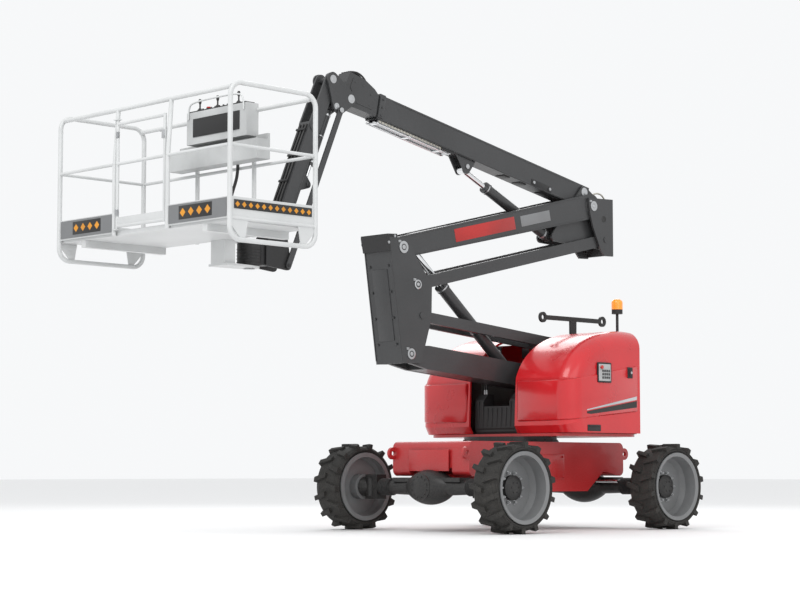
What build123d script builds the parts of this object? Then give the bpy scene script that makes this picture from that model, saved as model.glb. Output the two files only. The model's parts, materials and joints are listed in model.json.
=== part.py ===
from build123d import *
from math import atan2, cos, degrees, hypot, radians, sin
import os

# An articulating boom lift on four wheels: chassis, slewing turret, folding riser,
# telescopic boom, jib and a wide work basket.
# Millimetres. +X is forward, +Y is the machine's left, +Z is up, and the floor is Z 0.
# Distances along X are measured from the slew axis and moved by SLEW_X, so that the
# origin is at the bottom centre of the whole machine. A pair (x, z) is a point in side view.

# Wheels and axles
WHEELBASE = 2200.0
TRACK = 2060.0
TYRE_R = 412.0
TYRE_WIDTH = 300.0
LUG_HEIGHT = 26.0
LUG_COUNT = 14
LUG_THICKNESS = 46.0
LUG_LEAN = 22.0
RIM_R = 296.0
RIM_WALL = 12.0
FLANGE_R = 326.0
DISC_INSET = 177.0
HUB_CAP_R = 110.0
HUB_CAP_HEIGHT = 43.0
HUB_DRUM_R = 120.0
HUB_DRUM_DEPTH = 90.0
SPINDLE_R = 45.0
KINGPIN_INSET = 230.0
KINGPIN_R = 24.0
KNUCKLE_R = 62.0
KNUCKLE_HEIGHT = 176.0
YOKE_PLATE = 26.0
AXLE_TUBE_R = 62.0
DIFFERENTIAL_R = 165.0
PINION_R = 52.0
PINION_REACH = 230.0
SHAFT_R = 34.0

# Chassis
FRAME_WIDTH = 1000.0
FRAME_TOP = 838.0
FRAME_BELLY = 366.0
FRAME_PLATE = 18.0
FRAME_END = 1108.0
CROSSMEMBER_BOTTOM = 500.0
CROSSMEMBER_DEPTH = 190.0
EYE_PLATE = 30.0
EYE_HOLE_R = 24.0
EYE_BOSS_R = 58.0
SLEW_RING_R = 450.0
SLEW_RING_HEIGHT = 52.0

# Turret
HOOD_SEAT_GAP = 4.0
TURRET_DECK = 26.0
HOOD_FRONT = 270.0
HOOD_SEAM = -760.0
TAIL_BACK = -1060.0
TAIL_CUT = 250.0
DECK_BACK = -880.0
DECK_FRONT_INSET = 30.0
TAIL_RADIUS = 1220.0
HOOD_OUTER_Y = 1000.0
HOOD_INNER_Y = 300.0
HOOD_TOP = 1905.0
HOOD_NOSE_TOP = 1560.0
HOOD_WALL = 22.0
DECK_CORNER_R = 230.0
HOOD_SHOULDER_R = 170.0
MAST_INNER_Y = 186.0
MAST_PLATE = 24.0

COVER_FRONT = 200.0
COVER_HALF = 284.0
COVER_NOTCH_Z = 1186.0
COVER_NOTCH_HALF = 170.0
BAR_Y = 232.0
BAR_THICKNESS = 22.0
BAR_REAR = -1120.0
BAR_LENGTH = 900.0
BAR_HEIGHT = 2060.0
BAR_EYE_R = 52.0
BAR_HOLE_R = 25.0
BEACON_X = -980.0
BEACON_Y = 545.0
BEACON_POLE = 260.0

# Pins and plates of the arms
PIN_R = 30.0
RUNNING_FIT = 0.08
ARM_INNER_Y = 110.0
ARM_OUTER_Y = 150.0
SIDE_GAP = 6.0
KNUCKLE_PLATE = 20.0

# Riser: two parallelograms joined by the riser knuckle
LOWER_PIVOT = (-620.0, 1435.0)
LOWER_LENGTH = 2161.0
LOWER_ANGLE = 5.2
LOWER_DEPTH = 220.0
LOWER_LINK_OFFSET = (-139.0, 360.0)
LOWER_LINK_DEPTH = 100.0
RISER_OFFSET = (99.0, 977.0)
UPPER_LENGTH = 2776.0
UPPER_ANGLE = 166.9
UPPER_DEPTH = 200.0
UPPER_DEPTH_REAR = 250.0
UPPER_FORK = 1910.0
ROD_OPENING = 330.0
UPPER_LINK_OFFSET = (-185.0, -332.0)
UPPER_LINK_DEPTH = 115.0
ARM_PLATE = 12.0
ARM_TIP_R = 80.0
LOWER_SLOT = 1450.0
TIE_LENGTH = 60.0

# Boom, in its own line from its pivot: along it, and square to it
BOOM_OFFSET = (58.0, 143.0)
BOOM_ANGLE = 11.0
BOOM_CENTRE = -42.0
BOOM_REAR = 90.0
BOOM_LENGTH = 2915.0
BOOM_WIDTH = 160.0
BOOM_DEPTH = 230.0
BOOM_WALL = 8.0
BOOM_SLIDE_GAP = 6.0
INNER_START = 620.0
INNER_END = 3040.0
INNER_WALL = 8.0
HEAD_PIVOT = (3278.0, -93.0)
JIB_PIVOT_FROM_HEAD = (222.0, 152.0)

# Jib
JIB_ANGLE = -67.0
JIB_LENGTH = 1570.0
JIB_DEPTH = 140.0
JIB_HALF_WIDTH = 76.0
JIB_FORK = 470.0
JIB_PLATE_INNER = 84.0
JIB_PLATE = 18.0
JIB_LINK_OFFSET = (-80.0, -275.0)
JIB_LINK_DEPTH = 56.0
JIB_LINK_INNER = 108.0
JIB_LINK_PLATE = 14.0

# Hydraulic cylinders: the barrel's pin, the rod's pin and the bores
ARM_CYLINDER_FOOT = (640.0, 20.0)
ARM_CYLINDER_HEAD = (240.0, 0.0)
ARM_BARREL_R = 58.0
ARM_ROD_R = 32.0
ARM_BARREL_LENGTH = 1240.0
BOOM_CYLINDER_FOOT = (513.0, -347.0)
BOOM_CYLINDER_HEAD = (1662.0, -261.0)
BOOM_BARREL_R = 50.0
BOOM_ROD_R = 28.0
BOOM_BARREL_LENGTH = 1010.0
JIB_CYLINDER_FOOT = (-43.0, -241.0)
JIB_CYLINDER_HEAD = (1000.0, -140.0)
JIB_BARREL_R = 34.0
JIB_ROD_R = 18.0
JIB_BARREL_LENGTH = 590.0
CYLINDER_PIN_R = 24.0
EYE_HALF_WIDTH = 36.0
EAR_START_Y = 46.0
NOSE_HALF = 76.0

# Basket
ROTATOR_FROM_JIB = 273.0
ROTATOR_R = 105.0
ROTATOR_HEIGHT = 190.0
CLEVIS_PLATE = 18.0
BASKET_GAP = 270.0
BASKET_DEPTH = 900.0
BASKET_WIDTH = 2300.0
BASKET_FLOOR_Z = -60.0
BASKET_FLOOR = 40.0
RAIL_HEIGHT = 1060.0
MID_RAIL_HEIGHT = 560.0
RAIL_R = 19.0
BAR_R = 14.0
LOOP_DROP = 150.0
LOOP_CORNER_R = 110.0
TOE_HEIGHT = 150.0
TOE_PLATE = 4.0
GATE_HALF = 360.0
GATE_GAP = 8.0


def plus(a, b):
    """A point of the side view moved by an offset."""
    return (a[0] + b[0], a[1] + b[1])


def along(start, length, angle):
    """The point at a length and an angle in degrees from a point of the side view."""
    return (start[0] + length * cos(radians(angle)), start[1] + length * sin(radians(angle)))


def local(origin, angle, point):
    """A point given along and square to a line, as a point of the side view."""
    return along(along(origin, point[0], angle), point[1], angle + 90.0)


# Pins in side view, from the turret out to the basket
LOWER_TIP = along(LOWER_PIVOT, LOWER_LENGTH, LOWER_ANGLE)
LOWER_LINK_PIVOT = plus(LOWER_PIVOT, LOWER_LINK_OFFSET)
LOWER_LINK_TIP = plus(LOWER_TIP, LOWER_LINK_OFFSET)
UPPER_PIVOT = plus(LOWER_TIP, RISER_OFFSET)
UPPER_LINK_PIVOT = plus(UPPER_PIVOT, UPPER_LINK_OFFSET)
UPPER_TIP = along(UPPER_PIVOT, UPPER_LENGTH, UPPER_ANGLE)
UPPER_LINK_TIP = plus(UPPER_TIP, UPPER_LINK_OFFSET)
BOOM_PIVOT = plus(UPPER_TIP, BOOM_OFFSET)
HEAD_POINT = local(BOOM_PIVOT, BOOM_ANGLE, HEAD_PIVOT)
JIB_PIVOT = plus(HEAD_POINT, JIB_PIVOT_FROM_HEAD)
JIB_TIP = along(JIB_PIVOT, JIB_LENGTH, JIB_ANGLE)
JIB_LINK_PIVOT = plus(JIB_PIVOT, JIB_LINK_OFFSET)
JIB_LINK_TIP = plus(JIB_TIP, JIB_LINK_OFFSET)
ARM_FOOT = local(LOWER_PIVOT, LOWER_ANGLE, ARM_CYLINDER_FOOT)
ARM_HEAD = local(UPPER_PIVOT, UPPER_ANGLE, ARM_CYLINDER_HEAD)
BOOM_FOOT = plus(UPPER_TIP, BOOM_CYLINDER_FOOT)
BOOM_HEAD = local(BOOM_PIVOT, BOOM_ANGLE, BOOM_CYLINDER_HEAD)
JIB_FOOT = plus(JIB_PIVOT, JIB_CYLINDER_FOOT)
JIB_HEAD = local(JIB_PIVOT, JIB_ANGLE, JIB_CYLINDER_HEAD)

# Sizes that follow from the others
PLATE_INNER_Y = ARM_OUTER_Y + SIDE_GAP
PLATE_OUTER_Y = PLATE_INNER_Y + KNUCKLE_PLATE
EAR_OUTER_Y = ARM_INNER_Y - SIDE_GAP
EAR_INNER_Y = BOOM_WIDTH / 2 + SIDE_GAP
BACK_PLATE_X = UPPER_TIP[0] - 304.0
ROTATOR_X = JIB_TIP[0] + ROTATOR_FROM_JIB
BASKET_REAR = ROTATOR_X + BASKET_GAP
BASKET_FRONT = BASKET_REAR + BASKET_DEPTH
FLOOR_Z = JIB_TIP[1] + BASKET_FLOOR_Z
SLEW_X = -(BASKET_FRONT + RAIL_R - WHEELBASE / 2 - TYRE_R) / 2
BORE_R = PIN_R + RUNNING_FIT
TURRET_BOTTOM = FRAME_TOP + SLEW_RING_HEIGHT
TURRET_TOP = TURRET_BOTTOM + TURRET_DECK
HOOD_BOTTOM = TURRET_TOP + HOOD_SEAT_GAP
WHEEL_Y = TRACK / 2
FLANGE_Y = WHEEL_Y + TYRE_WIDTH / 2 + 2.0
DISC_Y = FLANGE_Y - DISC_INSET
KINGPIN_Y = WHEEL_Y - KINGPIN_INSET


def side(y=0.0, origin=(0.0, 0.0), angle=0.0):
    """A plane seen from the machine's left: its x runs along the angle, its normal to -Y."""
    slope = radians(angle)
    place = (SLEW_X + origin[0], y, origin[1])
    return Plane(origin=place, x_dir=(cos(slope), 0, sin(slope)), z_dir=(0, -1, 0))


def level(z, x=0.0, y=0.0):
    """A level plane with +Z up."""
    return Plane(origin=(SLEW_X + x, y, z))


def across(x, z=0.0, y=0.0):
    """A plane that faces forward: its x runs to the left and its y up."""
    return Plane(origin=(SLEW_X + x, y, z), x_dir=(0, 1, 0), z_dir=(1, 0, 0))


def pair(inner, outer):
    """Where two plates at equal distances either side of the middle start."""
    return (outer, -inner)


def side_plates(corners, inner, outer, origin=(0.0, 0.0), angle=0.0):
    """Two equal plates with straight edges, either side of the middle."""
    for y in pair(inner, outer):
        with BuildSketch(side(y, origin, angle)) as outline:
            with BuildLine() as edge:
                Polyline(*corners, close=True)
            make_face(edge.edges())
        extrude(outline.sketch, amount=outer - inner)


def cross_pin(point, radius, half_length, mode=Mode.ADD):
    """A round pin across the machine, or the hole for one."""
    with BuildSketch(side(half_length, point)) as section:
        Circle(radius)
    extrude(section.sketch, amount=2 * half_length, mode=mode)


def stub_pins(point, radius, inner, outer, mode=Mode.ADD):
    """Two short pins, one each side of the middle, or their holes."""
    for y in pair(inner, outer):
        with BuildSketch(side(y, point)) as section:
            Circle(radius)
        extrude(section.sketch, amount=outer - inner, mode=mode)


def strap(start, angle, bosses, inner, outer):
    """Two bars wrapped round bosses, each ((x, y), radius), either side of the middle."""
    for y in pair(inner, outer):
        with BuildSketch(side(y, start, angle)) as outline:
            for spot, radius in bosses:
                with Locations(spot):
                    Circle(radius)
            make_hull()
        extrude(outline.sketch, amount=outer - inner)


def block(origin, angle, low, high, half_width, mode=Mode.ADD):
    """A block across the machine, between two corners along and square to a line."""
    with BuildSketch(side(half_width, origin, angle)) as outline:
        with Locations(((low[0] + high[0]) / 2, (low[1] + high[1]) / 2)):
            Rectangle(high[0] - low[0], high[1] - low[1])
    extrude(outline.sketch, amount=2 * half_width, mode=mode)


def finish(shape, name):
    """Name a piece and write its file."""
    shape.part.label = name
    export_step(shape.part, "parts/" + name + ".step")


def place(shape, name, x, hand):
    """Write a copy of a wheel piece, made about the origin for the left, at its wheel."""
    spot = Location((SLEW_X + x, hand * WHEEL_Y, TYRE_R), (0, 0, 0 if hand > 0 else 180))
    copy = shape.part.moved(spot)
    copy.label = name
    export_step(copy, "parts/" + name + ".step")


os.makedirs("parts", exist_ok=True)

# Chassis frame: side plates that drop to the belly, a deck, and a box crossmember
# with two eye plates at each end.
belly_half = WHEELBASE / 2 - TYRE_R - 130.0
with BuildPart() as chassis_frame:
    with BuildSketch(side(FRAME_WIDTH / 2)):
        with BuildLine():
            Polyline(
                (-FRAME_END, FRAME_TOP),
                (FRAME_END, FRAME_TOP),
                (FRAME_END, CROSSMEMBER_BOTTOM),
                (belly_half + 250, CROSSMEMBER_BOTTOM + 60),
                (belly_half, FRAME_BELLY),
                (-belly_half, FRAME_BELLY),
                (-belly_half - 250, CROSSMEMBER_BOTTOM + 60),
                (-FRAME_END, CROSSMEMBER_BOTTOM),
                close=True,
            )
        make_face()
    extrude(amount=FRAME_WIDTH)
    inner_height = FRAME_TOP - FRAME_PLATE - FRAME_BELLY
    with BuildSketch(level(FRAME_BELLY)):
        Rectangle(2 * (FRAME_END - CROSSMEMBER_DEPTH), FRAME_WIDTH - 2 * FRAME_PLATE)
    extrude(amount=inner_height, mode=Mode.SUBTRACT)
    with BuildSketch(level(FRAME_TOP)):
        Circle(SLEW_RING_R - 90.0)
    extrude(amount=-FRAME_PLATE, mode=Mode.SUBTRACT)
    for end in (0, -1):
        fillet(chassis_frame.edges().filter_by(Axis.Y).group_by(Axis.X)[end], 60.0)
    for x in (-WHEELBASE / 2, WHEELBASE / 2):
        cross_pin((x, TYRE_R), DIFFERENTIAL_R + 14.0, 280.0, Mode.SUBTRACT)
    for y in pair(FRAME_WIDTH / 2 - EYE_PLATE, FRAME_WIDTH / 2):
        for end in (-1, 1):
            eye = (end * (FRAME_END + 20.0), FRAME_TOP - 110.0)
            root = (end * (FRAME_END - 120.0), FRAME_TOP - 110.0)
            with BuildSketch(side(y)):
                with Locations(eye, root):
                    Circle(EYE_BOSS_R)
                make_hull()
            extrude(amount=EYE_PLATE)
            with BuildSketch(side(y, eye)):
                Circle(EYE_HOLE_R)
            extrude(amount=EYE_PLATE, mode=Mode.SUBTRACT)
finish(chassis_frame, "chassis_frame")

# Slew ring between the chassis and the turret.
with BuildPart() as slew_ring:
    with BuildSketch(level(FRAME_TOP)):
        Circle(SLEW_RING_R)
        Circle(SLEW_RING_R - 90.0, mode=Mode.SUBTRACT)
    extrude(amount=SLEW_RING_HEIGHT - 1.0)
finish(slew_ring, "slew_ring")


def axle(name, x):
    """A rigid axle: a round differential case, tubes and a fork for each kingpin."""
    z = TYRE_R
    fork = KNUCKLE_HEIGHT / 2 + 2.0
    with BuildPart() as piece:
        with BuildSketch(Plane(origin=(SLEW_X + x, 0, z), x_dir=(0, 1, 0), z_dir=(1, 0, 0))):
            with BuildLine():
                reach = KINGPIN_Y - 105.0
                Polyline((-reach, 0), (-reach, AXLE_TUBE_R), (-260, AXLE_TUBE_R + 14))
                Spline((-260, AXLE_TUBE_R + 14), (0, DIFFERENTIAL_R), (260, AXLE_TUBE_R + 14))
                Polyline((260, AXLE_TUBE_R + 14), (reach, AXLE_TUBE_R), (reach, 0), (-reach, 0))
            make_face()
        revolve(axis=Axis((SLEW_X + x, 0, z), (0, 1, 0)))
        with BuildSketch(across(x, z)):
            Circle(PINION_R)
        extrude(amount=-PINION_REACH if x > 0 else PINION_REACH)
        for hand in (-1, 1):
            with BuildSketch(Plane.XY.offset(z - fork - YOKE_PLATE)):
                with Locations((SLEW_X + x, hand * KINGPIN_Y)):
                    Circle(KNUCKLE_R)
                with Locations((SLEW_X + x, hand * (KINGPIN_Y - 105.0))):
                    Rectangle(2 * KNUCKLE_R, 60.0)
                make_hull()
            extrude(amount=2 * (fork + YOKE_PLATE))
            with BuildSketch(Plane.XY.offset(z - fork)):
                with Locations((SLEW_X + x, hand * (KINGPIN_Y + 22.0))):
                    Rectangle(2 * KNUCKLE_R + 20.0, 2 * KNUCKLE_R + 60.0)
            extrude(amount=2 * fork, mode=Mode.SUBTRACT)
            with BuildSketch(Plane.XY.offset(z - fork - YOKE_PLATE)):
                with Locations((SLEW_X + x, hand * KINGPIN_Y)):
                    Circle(KINGPIN_R + RUNNING_FIT)
            extrude(amount=2 * (fork + YOKE_PLATE), mode=Mode.SUBTRACT)
        with BuildSketch(level(z + AXLE_TUBE_R - 14.0, x)):
            Rectangle(150.0, FRAME_WIDTH - 120.0)
        extrude(amount=CROSSMEMBER_BOTTOM - z - AXLE_TUBE_R + 14.0)
    finish(piece, name)


axle("front_axle", WHEELBASE / 2)
axle("rear_axle", -WHEELBASE / 2)

# Driveline: the transfer gearbox under the belly and a shaft to each axle.
with BuildPart() as driveline:
    with BuildSketch(level(FRAME_BELLY - 20.0)):
        Rectangle(420.0, 420.0)
    extrude(amount=250.0)
    fillet(driveline.edges().filter_by(Axis.Z), 60.0)
    with BuildSketch(across(PINION_REACH - WHEELBASE / 2, TYRE_R)):
        Circle(SHAFT_R)
    extrude(amount=WHEELBASE - 2 * PINION_REACH)
finish(driveline, "driveline")


def steering_knuckle(name, x, hand):
    """A knuckle: a barrel on its kingpin, a round flange and the spindle."""
    z = TYRE_R
    pin_reach = KNUCKLE_HEIGHT / 2 + 2.0 + YOKE_PLATE
    with BuildPart() as piece:
        with BuildSketch(Plane.XY.offset(z - KNUCKLE_HEIGHT / 2)):
            with Locations((SLEW_X + x, hand * KINGPIN_Y)):
                Circle(KNUCKLE_R - 4.0)
        extrude(amount=KNUCKLE_HEIGHT)
        with BuildSketch(Plane.XY.offset(z - pin_reach)):
            with Locations((SLEW_X + x, hand * KINGPIN_Y)):
                Circle(KINGPIN_R)
        extrude(amount=2 * pin_reach)
        with BuildSketch(Plane(origin=(SLEW_X + x, 0, z), x_dir=(0, 1, 0), z_dir=(1, 0, 0))):
            start = hand * KINGPIN_Y
            drum = hand * (DISC_Y - 16.0 - HUB_DRUM_DEPTH - 6.0)
            tip = hand * (DISC_Y - 20.0)
            with BuildLine():
                Polyline(
                    (start, 0),
                    (start, KNUCKLE_R - 6.0),
                    (drum, HUB_DRUM_R - 25.0),
                    (drum, SPINDLE_R),
                    (tip, SPINDLE_R),
                    (tip, 0),
                    close=True,
                )
            make_face()
        revolve(axis=Axis((SLEW_X + x, 0, z), (0, 1, 0)))
    finish(piece, name)


# Rim: barrel with flanges, dished disc, hub drum behind and hub cap. Its radii are
# turned about the wheel's axis, and distances run outwards from the tyre's middle.
flange = FLANGE_Y - WHEEL_Y
disc = DISC_Y - WHEEL_Y
disc_back = disc - 16.0
inner_flange = flange - TYRE_WIDTH - 4.0
well_r = RIM_R - RIM_WALL
rim_profile = [
    (disc_back - HUB_DRUM_DEPTH, SPINDLE_R + RUNNING_FIT),
    (disc_back - HUB_DRUM_DEPTH, HUB_DRUM_R),
    (disc_back, HUB_DRUM_R),
    (disc_back, well_r - 24.0),
    (disc_back - 40.0, well_r),
    (inner_flange, well_r),
    (inner_flange, FLANGE_R),
    (inner_flange + 14.0, FLANGE_R),
    (inner_flange + 22.0, RIM_R),
    (flange - 22.0, RIM_R),
    (flange - 14.0, FLANGE_R),
    (flange, FLANGE_R),
    (flange - 10.0, well_r + 6.0),
    (disc + 50.0, well_r),
    (disc, well_r - 30.0),
    (disc, HUB_CAP_R),
    (disc + HUB_CAP_HEIGHT - 14.0, HUB_CAP_R - 6.0),
    (disc + HUB_CAP_HEIGHT, HUB_CAP_R - 26.0),
    (disc + HUB_CAP_HEIGHT, 0.0),
    (disc - 6.0, 0.0),
    (disc - 6.0, SPINDLE_R + RUNNING_FIT),
]
with BuildPart() as rim:
    with BuildSketch(Plane.YZ):
        with BuildLine():
            Polyline(*rim_profile, close=True)
        make_face()
    revolve(axis=Axis.Y)

# Tyre: a round-shouldered carcass with two rows of slanted lugs.
carcass = TYRE_R - LUG_HEIGHT
half = TYRE_WIDTH / 2
tyre_half_profile = [
    (half - 44, carcass),
    (half - 12, carcass - 18),
    (half, FLANGE_R + 26),
    (half - 18, FLANGE_R + 2),
    (half - 26, RIM_R),
]
tyre_profile = tyre_half_profile + [(-y, r) for y, r in reversed(tyre_half_profile)]
lug_planes = []
for index in range(2 * LUG_COUNT):
    turn = radians(index * 180.0 / LUG_COUNT)
    lug_planes.append(
        Plane(
            origin=((carcass - 30.0) * cos(turn), 0, (carcass - 30.0) * sin(turn)),
            x_dir=(-sin(turn), 0, cos(turn)),
            z_dir=(cos(turn), 0, sin(turn)),
        )
    )
with BuildPart() as tyre:
    with BuildSketch(Plane.YZ):
        with BuildLine():
            Polyline(*tyre_profile, close=True)
        make_face()
    revolve(axis=Axis.Y)
    for row, planes in ((1, lug_planes[0::2]), (-1, lug_planes[1::2])):
        with BuildSketch(*planes):
            with BuildLine():
                Polyline(
                    (-LUG_LEAN - LUG_THICKNESS / 2, row * 4.0),
                    (LUG_THICKNESS / 2 - LUG_LEAN, row * 4.0),
                    (LUG_LEAN + LUG_THICKNESS / 2, row * half),
                    (LUG_LEAN - LUG_THICKNESS / 2, row * half),
                    close=True,
                )
            make_face()
        extrude(amount=30.0 + LUG_HEIGHT)
    with BuildSketch(Plane.YZ):
        with Locations((0, TYRE_R / 2)):
            Rectangle(2 * half, TYRE_R)
    revolve(axis=Axis.Y, mode=Mode.INTERSECT)

for corner, x, hand in (
    ("front_left", WHEELBASE / 2, 1),
    ("front_right", WHEELBASE / 2, -1),
    ("rear_left", -WHEELBASE / 2, 1),
    ("rear_right", -WHEELBASE / 2, -1),
):
    steering_knuckle("knuckle_" + corner, x, hand)
    place(rim, "rim_" + corner, x, hand)
    place(tyre, "tyre_" + corner, x, hand)

# Turret frame: the deck that turns on the slew ring and the mast plates with the
# pins of the lower arm and of its link.
with BuildPart() as turret_frame:
    with BuildSketch(level(TURRET_BOTTOM)):
        deck_front = HOOD_FRONT - DECK_FRONT_INSET
        deck_length = deck_front - DECK_BACK
        with Locations(((deck_front + DECK_BACK) / 2, 0)):
            RectangleRounded(deck_length, 2 * HOOD_OUTER_Y - 100.0, DECK_CORNER_R)
    extrude(amount=TURRET_DECK)

    mast_corners = [
        (HOOD_SEAM + 10, TURRET_TOP),
        (LOWER_PIVOT[0] + 520, TURRET_TOP),
        (LOWER_PIVOT[0] + 90, LOWER_PIVOT[1] + 20),
        (LOWER_LINK_PIVOT[0] + 80, LOWER_LINK_PIVOT[1] + 20),
        (LOWER_LINK_PIVOT[0] + 10, LOWER_LINK_PIVOT[1] + 85),
        (LOWER_LINK_PIVOT[0] - 90, LOWER_LINK_PIVOT[1] + 30),
        (LOWER_LINK_PIVOT[0] - 70, TURRET_TOP + 410),
        (HOOD_SEAM + 10, TURRET_TOP + 400),
    ]
    side_plates(mast_corners, MAST_INNER_Y, MAST_INNER_Y + MAST_PLATE)
    cross_pin(LOWER_PIVOT, PIN_R, MAST_INNER_Y + MAST_PLATE + 8.0)
    cross_pin(LOWER_LINK_PIVOT, PIN_R, MAST_INNER_Y + MAST_PLATE + 8.0)
finish(turret_frame, "turret_frame")

# Counterweight: the cast tail, round to the tail radius, with a slot for the folded arms.
tail_top = HOOD_TOP - 60.0
with BuildPart() as counterweight:
    with BuildSketch(level(TURRET_TOP)):
        with Locations(((HOOD_SEAM - 6.0 + TAIL_BACK) / 2, 0)):
            Rectangle(HOOD_SEAM - 6.0 - TAIL_BACK, 2 * HOOD_OUTER_Y)
        Circle(TAIL_RADIUS, mode=Mode.INTERSECT)
    extrude(amount=tail_top - TURRET_TOP)
    tail_edges = counterweight.edges().filter_by(Axis.Z).group_by(Axis.X)[0]
    fillet(tail_edges, HOOD_SHOULDER_R)
    top_edges = counterweight.faces().sort_by(Axis.Z)[-1].edges().group_by(Axis.X)[:-1]
    chamfer([edge for group in top_edges for edge in group], 60.0)
    with BuildSketch(level(tail_top)):
        with Locations(((HOOD_SEAM + TAIL_BACK) / 2, 0)):
            Rectangle(2 * (HOOD_SEAM - TAIL_BACK), 2 * (MAST_INNER_Y + MAST_PLATE + 12.0))
    extrude(amount=-(tail_top - TURRET_TOP - 380.0), mode=Mode.SUBTRACT)
    with BuildSketch(side(HOOD_OUTER_Y)):
        with BuildLine():
            Polyline(
                (TAIL_BACK - 20.0, TURRET_TOP + TAIL_CUT),
                (TAIL_BACK, TURRET_TOP + TAIL_CUT),
                (DECK_BACK, TURRET_TOP),
                (DECK_BACK, TURRET_TOP - 20.0),
                (TAIL_BACK - 20.0, TURRET_TOP - 20.0),
                close=True,
            )
        make_face()
    extrude(amount=2 * HOOD_OUTER_Y, mode=Mode.SUBTRACT)
finish(counterweight, "counterweight")


def inner_block(name, x, y, length, width, height):
    """A heavy mass inside the turret, as one plain block on the deck."""
    with BuildPart() as piece:
        with BuildSketch(level(TURRET_TOP, x, y)):
            Rectangle(length, width)
        extrude(amount=height)
    finish(piece, name)


inner_block("engine_block", -330.0, -600.0, 640.0, 420.0, 560.0)
inner_block("tank_block", -330.0, 600.0, 640.0, 420.0, 420.0)


def hood(name, hand):
    """A moulded hood shell: rounded front corner, falling nose and crowned shoulder."""
    near = max(hand * HOOD_OUTER_Y, hand * HOOD_INNER_Y)
    with BuildPart() as piece:
        with BuildSketch(side(near)):
            with BuildLine():
                Line((HOOD_SEAM, HOOD_BOTTOM), (HOOD_FRONT - 40, HOOD_BOTTOM))
                Line((HOOD_FRONT - 40, HOOD_BOTTOM), (HOOD_FRONT, HOOD_BOTTOM + 70))
                Line((HOOD_FRONT, HOOD_BOTTOM + 70), (HOOD_FRONT - 20, HOOD_NOSE_TOP - 120))
                Spline(
                    (HOOD_FRONT - 20, HOOD_NOSE_TOP - 120),
                    (HOOD_FRONT - 130, HOOD_NOSE_TOP + 60),
                    (HOOD_FRONT - 470, HOOD_TOP - 70),
                    (HOOD_SEAM, HOOD_TOP),
                )
                Line((HOOD_SEAM, HOOD_TOP), (HOOD_SEAM, HOOD_BOTTOM))
            make_face()
        extrude(amount=HOOD_OUTER_Y - HOOD_INNER_Y)
        outer_face = piece.faces().sort_by(Axis.Y)[-1 if hand > 0 else 0]
        rounded = outer_face.edges().sort_by(Axis.X)[1:]
        rounded = rounded.filter_by(lambda edge: edge.center().Z > HOOD_BOTTOM + 10.0)
        fillet(rounded, HOOD_SHOULDER_R)
        inner_face = piece.faces().sort_by(Axis.Y)[0 if hand > 0 else -1]
        back_face = piece.faces().sort_by(Axis.X)[0]
        under_face = piece.faces().sort_by(Axis.Z)[0]
        offset(amount=-HOOD_WALL, openings=[inner_face, back_face, under_face])
    finish(piece, name)


hood("hood_left", 1)
hood("hood_right", -1)

# Front cover: the moulded casing between the hoods, over the hose bundle.
with BuildPart() as front_cover:
    with BuildSketch(side(COVER_HALF)):
        with BuildLine():
            Polyline(
                (COVER_FRONT - 150, TURRET_TOP),
                (COVER_FRONT - 20, TURRET_TOP),
                (COVER_FRONT, TURRET_TOP + 60),
                (COVER_FRONT - 10, TURRET_TOP + 330),
                (COVER_FRONT - 70, TURRET_TOP + 390),
                (COVER_FRONT - 150, TURRET_TOP + 390),
                close=True,
            )
        make_face()
    extrude(amount=2 * COVER_HALF)
    with BuildSketch(level(COVER_NOTCH_Z)):
        Rectangle(2 * COVER_FRONT, 2 * COVER_NOTCH_HALF)
    extrude(amount=400.0, mode=Mode.SUBTRACT)
finish(front_cover, "front_cover")

# Lifting bar: a dog-bone strap over the left mast plate, on a post from the deck.
with BuildPart() as lifting_bar:
    with BuildSketch(side(BAR_Y + BAR_THICKNESS / 2, (BAR_REAR, BAR_HEIGHT))):
        for x in (0.0, BAR_LENGTH):
            with Locations((x, 0)):
                Circle(BAR_EYE_R)
        with Locations((BAR_LENGTH / 2, 0)):
            Rectangle(BAR_LENGTH, 44.0)
        for x in (0.0, BAR_LENGTH):
            with Locations((x, 0)):
                Circle(BAR_HOLE_R, mode=Mode.SUBTRACT)
    extrude(amount=BAR_THICKNESS)
    post = (BAR_REAR + BAR_LENGTH / 2, BAR_HEIGHT)
    with BuildSketch(side(BAR_Y + BAR_THICKNESS / 2, post)):
        with BuildLine():
            Polyline(
                (-45, -12),
                (45, -12),
                (28, -BAR_HEIGHT + TURRET_TOP),
                (-28, -BAR_HEIGHT + TURRET_TOP),
                close=True,
            )
        make_face()
    extrude(amount=BAR_THICKNESS)
finish(lifting_bar, "lifting_bar")

# Beacon: an amber dome on a short pole from the counterweight.
with BuildPart() as beacon_pole:
    with BuildSketch(level(tail_top, BEACON_X, BEACON_Y)):
        Rectangle(70.0, 70.0)
    extrude(amount=8.0)
    with BuildSketch(level(tail_top + 8.0, BEACON_X, BEACON_Y)):
        Circle(14.0)
    extrude(amount=BEACON_POLE)
    with BuildSketch(level(tail_top + 8.0 + BEACON_POLE, BEACON_X, BEACON_Y)):
        Circle(54.0)
    extrude(amount=44.0)
finish(beacon_pole, "beacon_pole")
with BuildPart() as beacon_lens:
    with BuildSketch(level(tail_top + 52.0 + BEACON_POLE, BEACON_X, BEACON_Y)):
        Circle(56.0)
    extrude(amount=104.0)
    fillet(beacon_lens.faces().sort_by(Axis.Z)[-1].edges(), 40.0)
finish(beacon_lens, "beacon_lens")

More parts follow.
